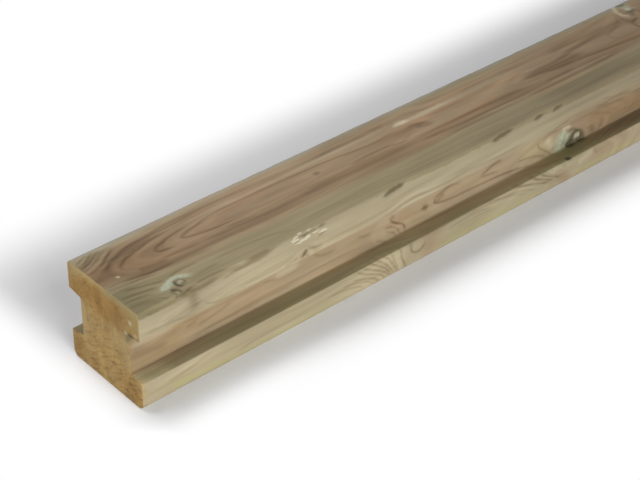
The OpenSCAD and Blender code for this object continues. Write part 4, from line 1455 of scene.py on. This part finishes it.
surface_height = fibres * 0.6 + speckle * is_golden * 0.7 - late * 0.15
bump = {"Strength": BUMP_STRENGTH, "Distance": BUMP_DEPTH, "Height": surface_height}
sockets = {
    "Base Color": colour,
    "Roughness": ROUGHNESS - line * 0.1,
    "Normal": wood.node("ShaderNodeBump", {}, **bump),
    "Specular IOR Level": SHEEN_LEVEL,
}
shader = wood.node("ShaderNodeBsdfPrincipled", {}, **sockets)
wood.node("ShaderNodeOutputMaterial", {}, shader)
post_mesh.materials.append(wood.holder)
print("wood nodes:", len(wood.tree.nodes))

# %% [markdown]
# ## The floor
# The floor is a plain pale sheet. Near the post it shows the light that falls on it, and so the
# shadow; further away it runs into a plain white of its own, so that it has no edge. Only what
# the camera sees directly is treated like this: the light that the floor throws back at the
# post comes from an ordinary pale surface. The band in which the shadow shows is narrower beside
# the near end, where little of it falls. In front of the post the paper is painted a little
# cooler: a painted cool cast in the shadow there, against the warm light the post throws on it.

# %% Floor
FLOOR_SIZE = 14.0
FLOOR_DROP = 0.0004                           # the floor lies this far under the post
WHITE = (1.0, 1.0, 1.0)
PAPER_GREY = (0.80, 0.80, 0.80)               # what the post is lit back by
# the paper in front is a little cooler, a painted cool cast in the shadow there
PAPER_BEHIND, PAPER_BEFORE = (0.93, 0.93, 0.945), (0.90, 0.92, 0.945)
TINT_TURN = (0.0, 0.05)                       # in front of the middle, m
SHADOW_BEHIND = (0.165, 0.235)                # where the shadow fades out, from the middle, m
SHADOW_BEFORE = (0.055, 0.115)
BEHIND_NEAR_END = (0.145, 0.235)              # the same next to the near end
BEFORE_NEAR_END = (0.047, 0.090)
NEAR_END_STRETCH = (0.06, 0.22)               # how far "next to the near end" reaches, m
PAST_NEAR_END = (-0.012, 0.028)               # where it fades out past the two ends, m
PAST_FAR_END = (-0.02, 0.10)

half_floor = FLOOR_SIZE / 2
half_post = post_length / 2 * MM
floor_mesh = bpy.data.meshes.new("floor")
floor_corners = [
    (x * half_floor, y * half_floor, -FLOOR_DROP) for x, y in ((-1, -1), (1, -1), (1, 1), (-1, 1))
]
floor_mesh.from_pydata(floor_corners, [], [(0, 1, 2, 3)])
floor = bpy.data.objects.new("floor", floor_mesh)
bpy.context.collection.objects.link(floor)

paper = Make(bpy.data.materials.new("floor_paper"))
floor_places = paper.node("ShaderNodeTexCoord", {}, output="Object")
floor_split = paper.node("ShaderNodeSeparateXYZ", {}, floor_places).socket.node
floor_x, floor_y = [Value(floor_split.outputs[axis], paper) for axis in range(2)]
past_near = (floor_x * -1.0).step(*[half_post + place for place in PAST_NEAR_END])
past_far = floor_x.step(*[half_post + place for place in PAST_FAR_END])
near_end = 1.0 - floor_x.step(*[NEAR_END * MM + place for place in NEAR_END_STRETCH])
behind = floor_y.step(*SHADOW_BEHIND) * (1.0 - near_end) + floor_y.step(*BEHIND_NEAR_END) * near_end
forward = floor_y * -1.0
in_front = forward.step(*SHADOW_BEFORE) * (1.0 - near_end) + forward.step(*BEFORE_NEAR_END) * near_end
away = behind + in_front + past_near + past_far
paper_lit = paper.node("ShaderNodeBsdfDiffuse", {}, Color=opaque(PAPER_GREY))
paper_tint = paper.mix(forward.step(*TINT_TURN), PAPER_BEHIND, PAPER_BEFORE)
paper_near = paper.node("ShaderNodeBsdfDiffuse", {}, Color=paper_tint)
paper_far = paper.node("ShaderNodeEmission", {}, Color=opaque(WHITE), Strength=1.0)
paper_seen = paper.node("ShaderNodeMixShader", {}, away.clamp(), paper_near, paper_far)
seen = paper.node("ShaderNodeLightPath", {}, output="Is Camera Ray")
paper_both = paper.node("ShaderNodeMixShader", {}, seen, paper_lit, paper_seen)
paper.node("ShaderNodeOutputMaterial", {}, paper_both)
floor_mesh.materials.append(paper.holder)
print("floor nodes:", len(paper.tree.nodes))

# %% [markdown]
# ## Light
# The long faces are lit by soft boxes that stand low all round the post, the top by one that
# hangs above it and a little behind, so that the ledge inside the groove stays in the shade. A
# small one high on the left reaches in under the lip for the first few centimetres. The floor
# has one lamp of its own in front: it throws the shadow behind the post, and light linking keeps
# it off the wood. The small boxes are kept off the floor in the same way, so that the shadow
# stays as deep as the large lamps make it. A wider set further along lights the far half.

# %% Lamps
def only_for(name, target):
    """A collection that a lamp can be told to light, and nothing else."""
    receivers = bpy.data.collections.new(name)
    receivers.objects.link(target)
    return receivers


def soft_box(name, place, aim, size, power, receivers):
    """A rectangular lamp that looks from one point at another."""
    lamp = bpy.data.lights.new(name, "AREA")
    lamp.shape = "RECTANGLE"
    lamp.size, lamp.size_y = size
    lamp.energy = power
    holder = bpy.data.objects.new(name, lamp)
    direction = Vector(aim) - Vector(place)
    turn = direction.to_track_quat("-Z", "Y")
    holder.matrix_world = Matrix.Translation(Vector(place)) @ turn.to_matrix().to_4x4()
    holder.visible_camera = False
    if receivers:
        holder.light_linking.receiver_collection = receivers
    bpy.context.collection.objects.link(holder)


both = None                                   # a lamp without a collection lights everything
wood_only = only_for("lit_wood", post)
floor_only = only_for("lit_floor", floor)
NEAR_AIM, END_AIM, FAR_AIM = (-0.95, 0.0, 0.05), (-0.9, 0.0, 0.05), (0.6, 0.0, 0.05)
# name, place and aim in m, size in m, power in W, what it lights
LAMPS = [
    ("overhead", (-1.0, 0.60, 1.64), NEAR_AIM, (1.0, 0.57), 14.6, both),
    ("front_low", (-1.15, -1.9, 0.16), NEAR_AIM, (1.0, 0.26), 22.0, both),
    ("shadow_maker", (-1.0, -1.65, 1.33), NEAR_AIM, (1.2, 0.85), 22.0, floor_only),
    ("front_high", (-1.0, -1.65, 1.33), NEAR_AIM, (1.2, 0.85), 4.0, wood_only),
    ("left_high", (-2.2, 0.2, 1.85), (-0.85, 0.0, 0.05), (0.4, 0.4), 11.0, wood_only),
    ("left_low", (-2.7, -0.5, 0.22), END_AIM, (0.8, 0.4), 8.0, wood_only),
    ("back_low", (0.0, 2.1, 0.70), (0.0, 0.0, 0.05), (3.0, 0.25), 12.0, wood_only),
    ("right_low", (2.9, 0.3, 0.3), (0.9, 0.0, 0.05), (0.8, 0.4), 9.0, wood_only),
    ("far_overhead", (0.75, 0.60, 1.74), FAR_AIM, (1.2, 0.57), 11.0, wood_only),
    ("far_front", (0.8, -1.9, 0.16), FAR_AIM, (1.2, 0.26), 16.0, wood_only),
]
for lamp_row in LAMPS:
    soft_box(*lamp_row)
print("lamps:", [row[0] for row in LAMPS])

# %% [markdown]
# ## The world
# The camera sees plain white where there is no floor. Everything else gets only a faint cool sky,
# which fills the shadows a little.

# %% World
SKY_COLOUR = (0.95, 0.97, 1.0)
SKY_STRENGTH = 0.05

studio = Make(bpy.data.worlds.new("studio"))
sky_seen = studio.node("ShaderNodeLightPath", {}, output="Is Camera Ray")
sky_white = studio.node("ShaderNodeBackground", {}, Color=opaque(WHITE))
sky_soft = studio.node("ShaderNodeBackground", {}, Color=opaque(SKY_COLOUR), Strength=SKY_STRENGTH)
sky_both = studio.node("ShaderNodeMixShader", {}, sky_seen, sky_soft, sky_white)
studio.node("ShaderNodeOutputWorld", {}, sky_both)
bpy.context.scene.world = studio.holder
bpy.context.scene.view_settings.view_transform = "Standard"
print("world nodes:", len(studio.tree.nodes))
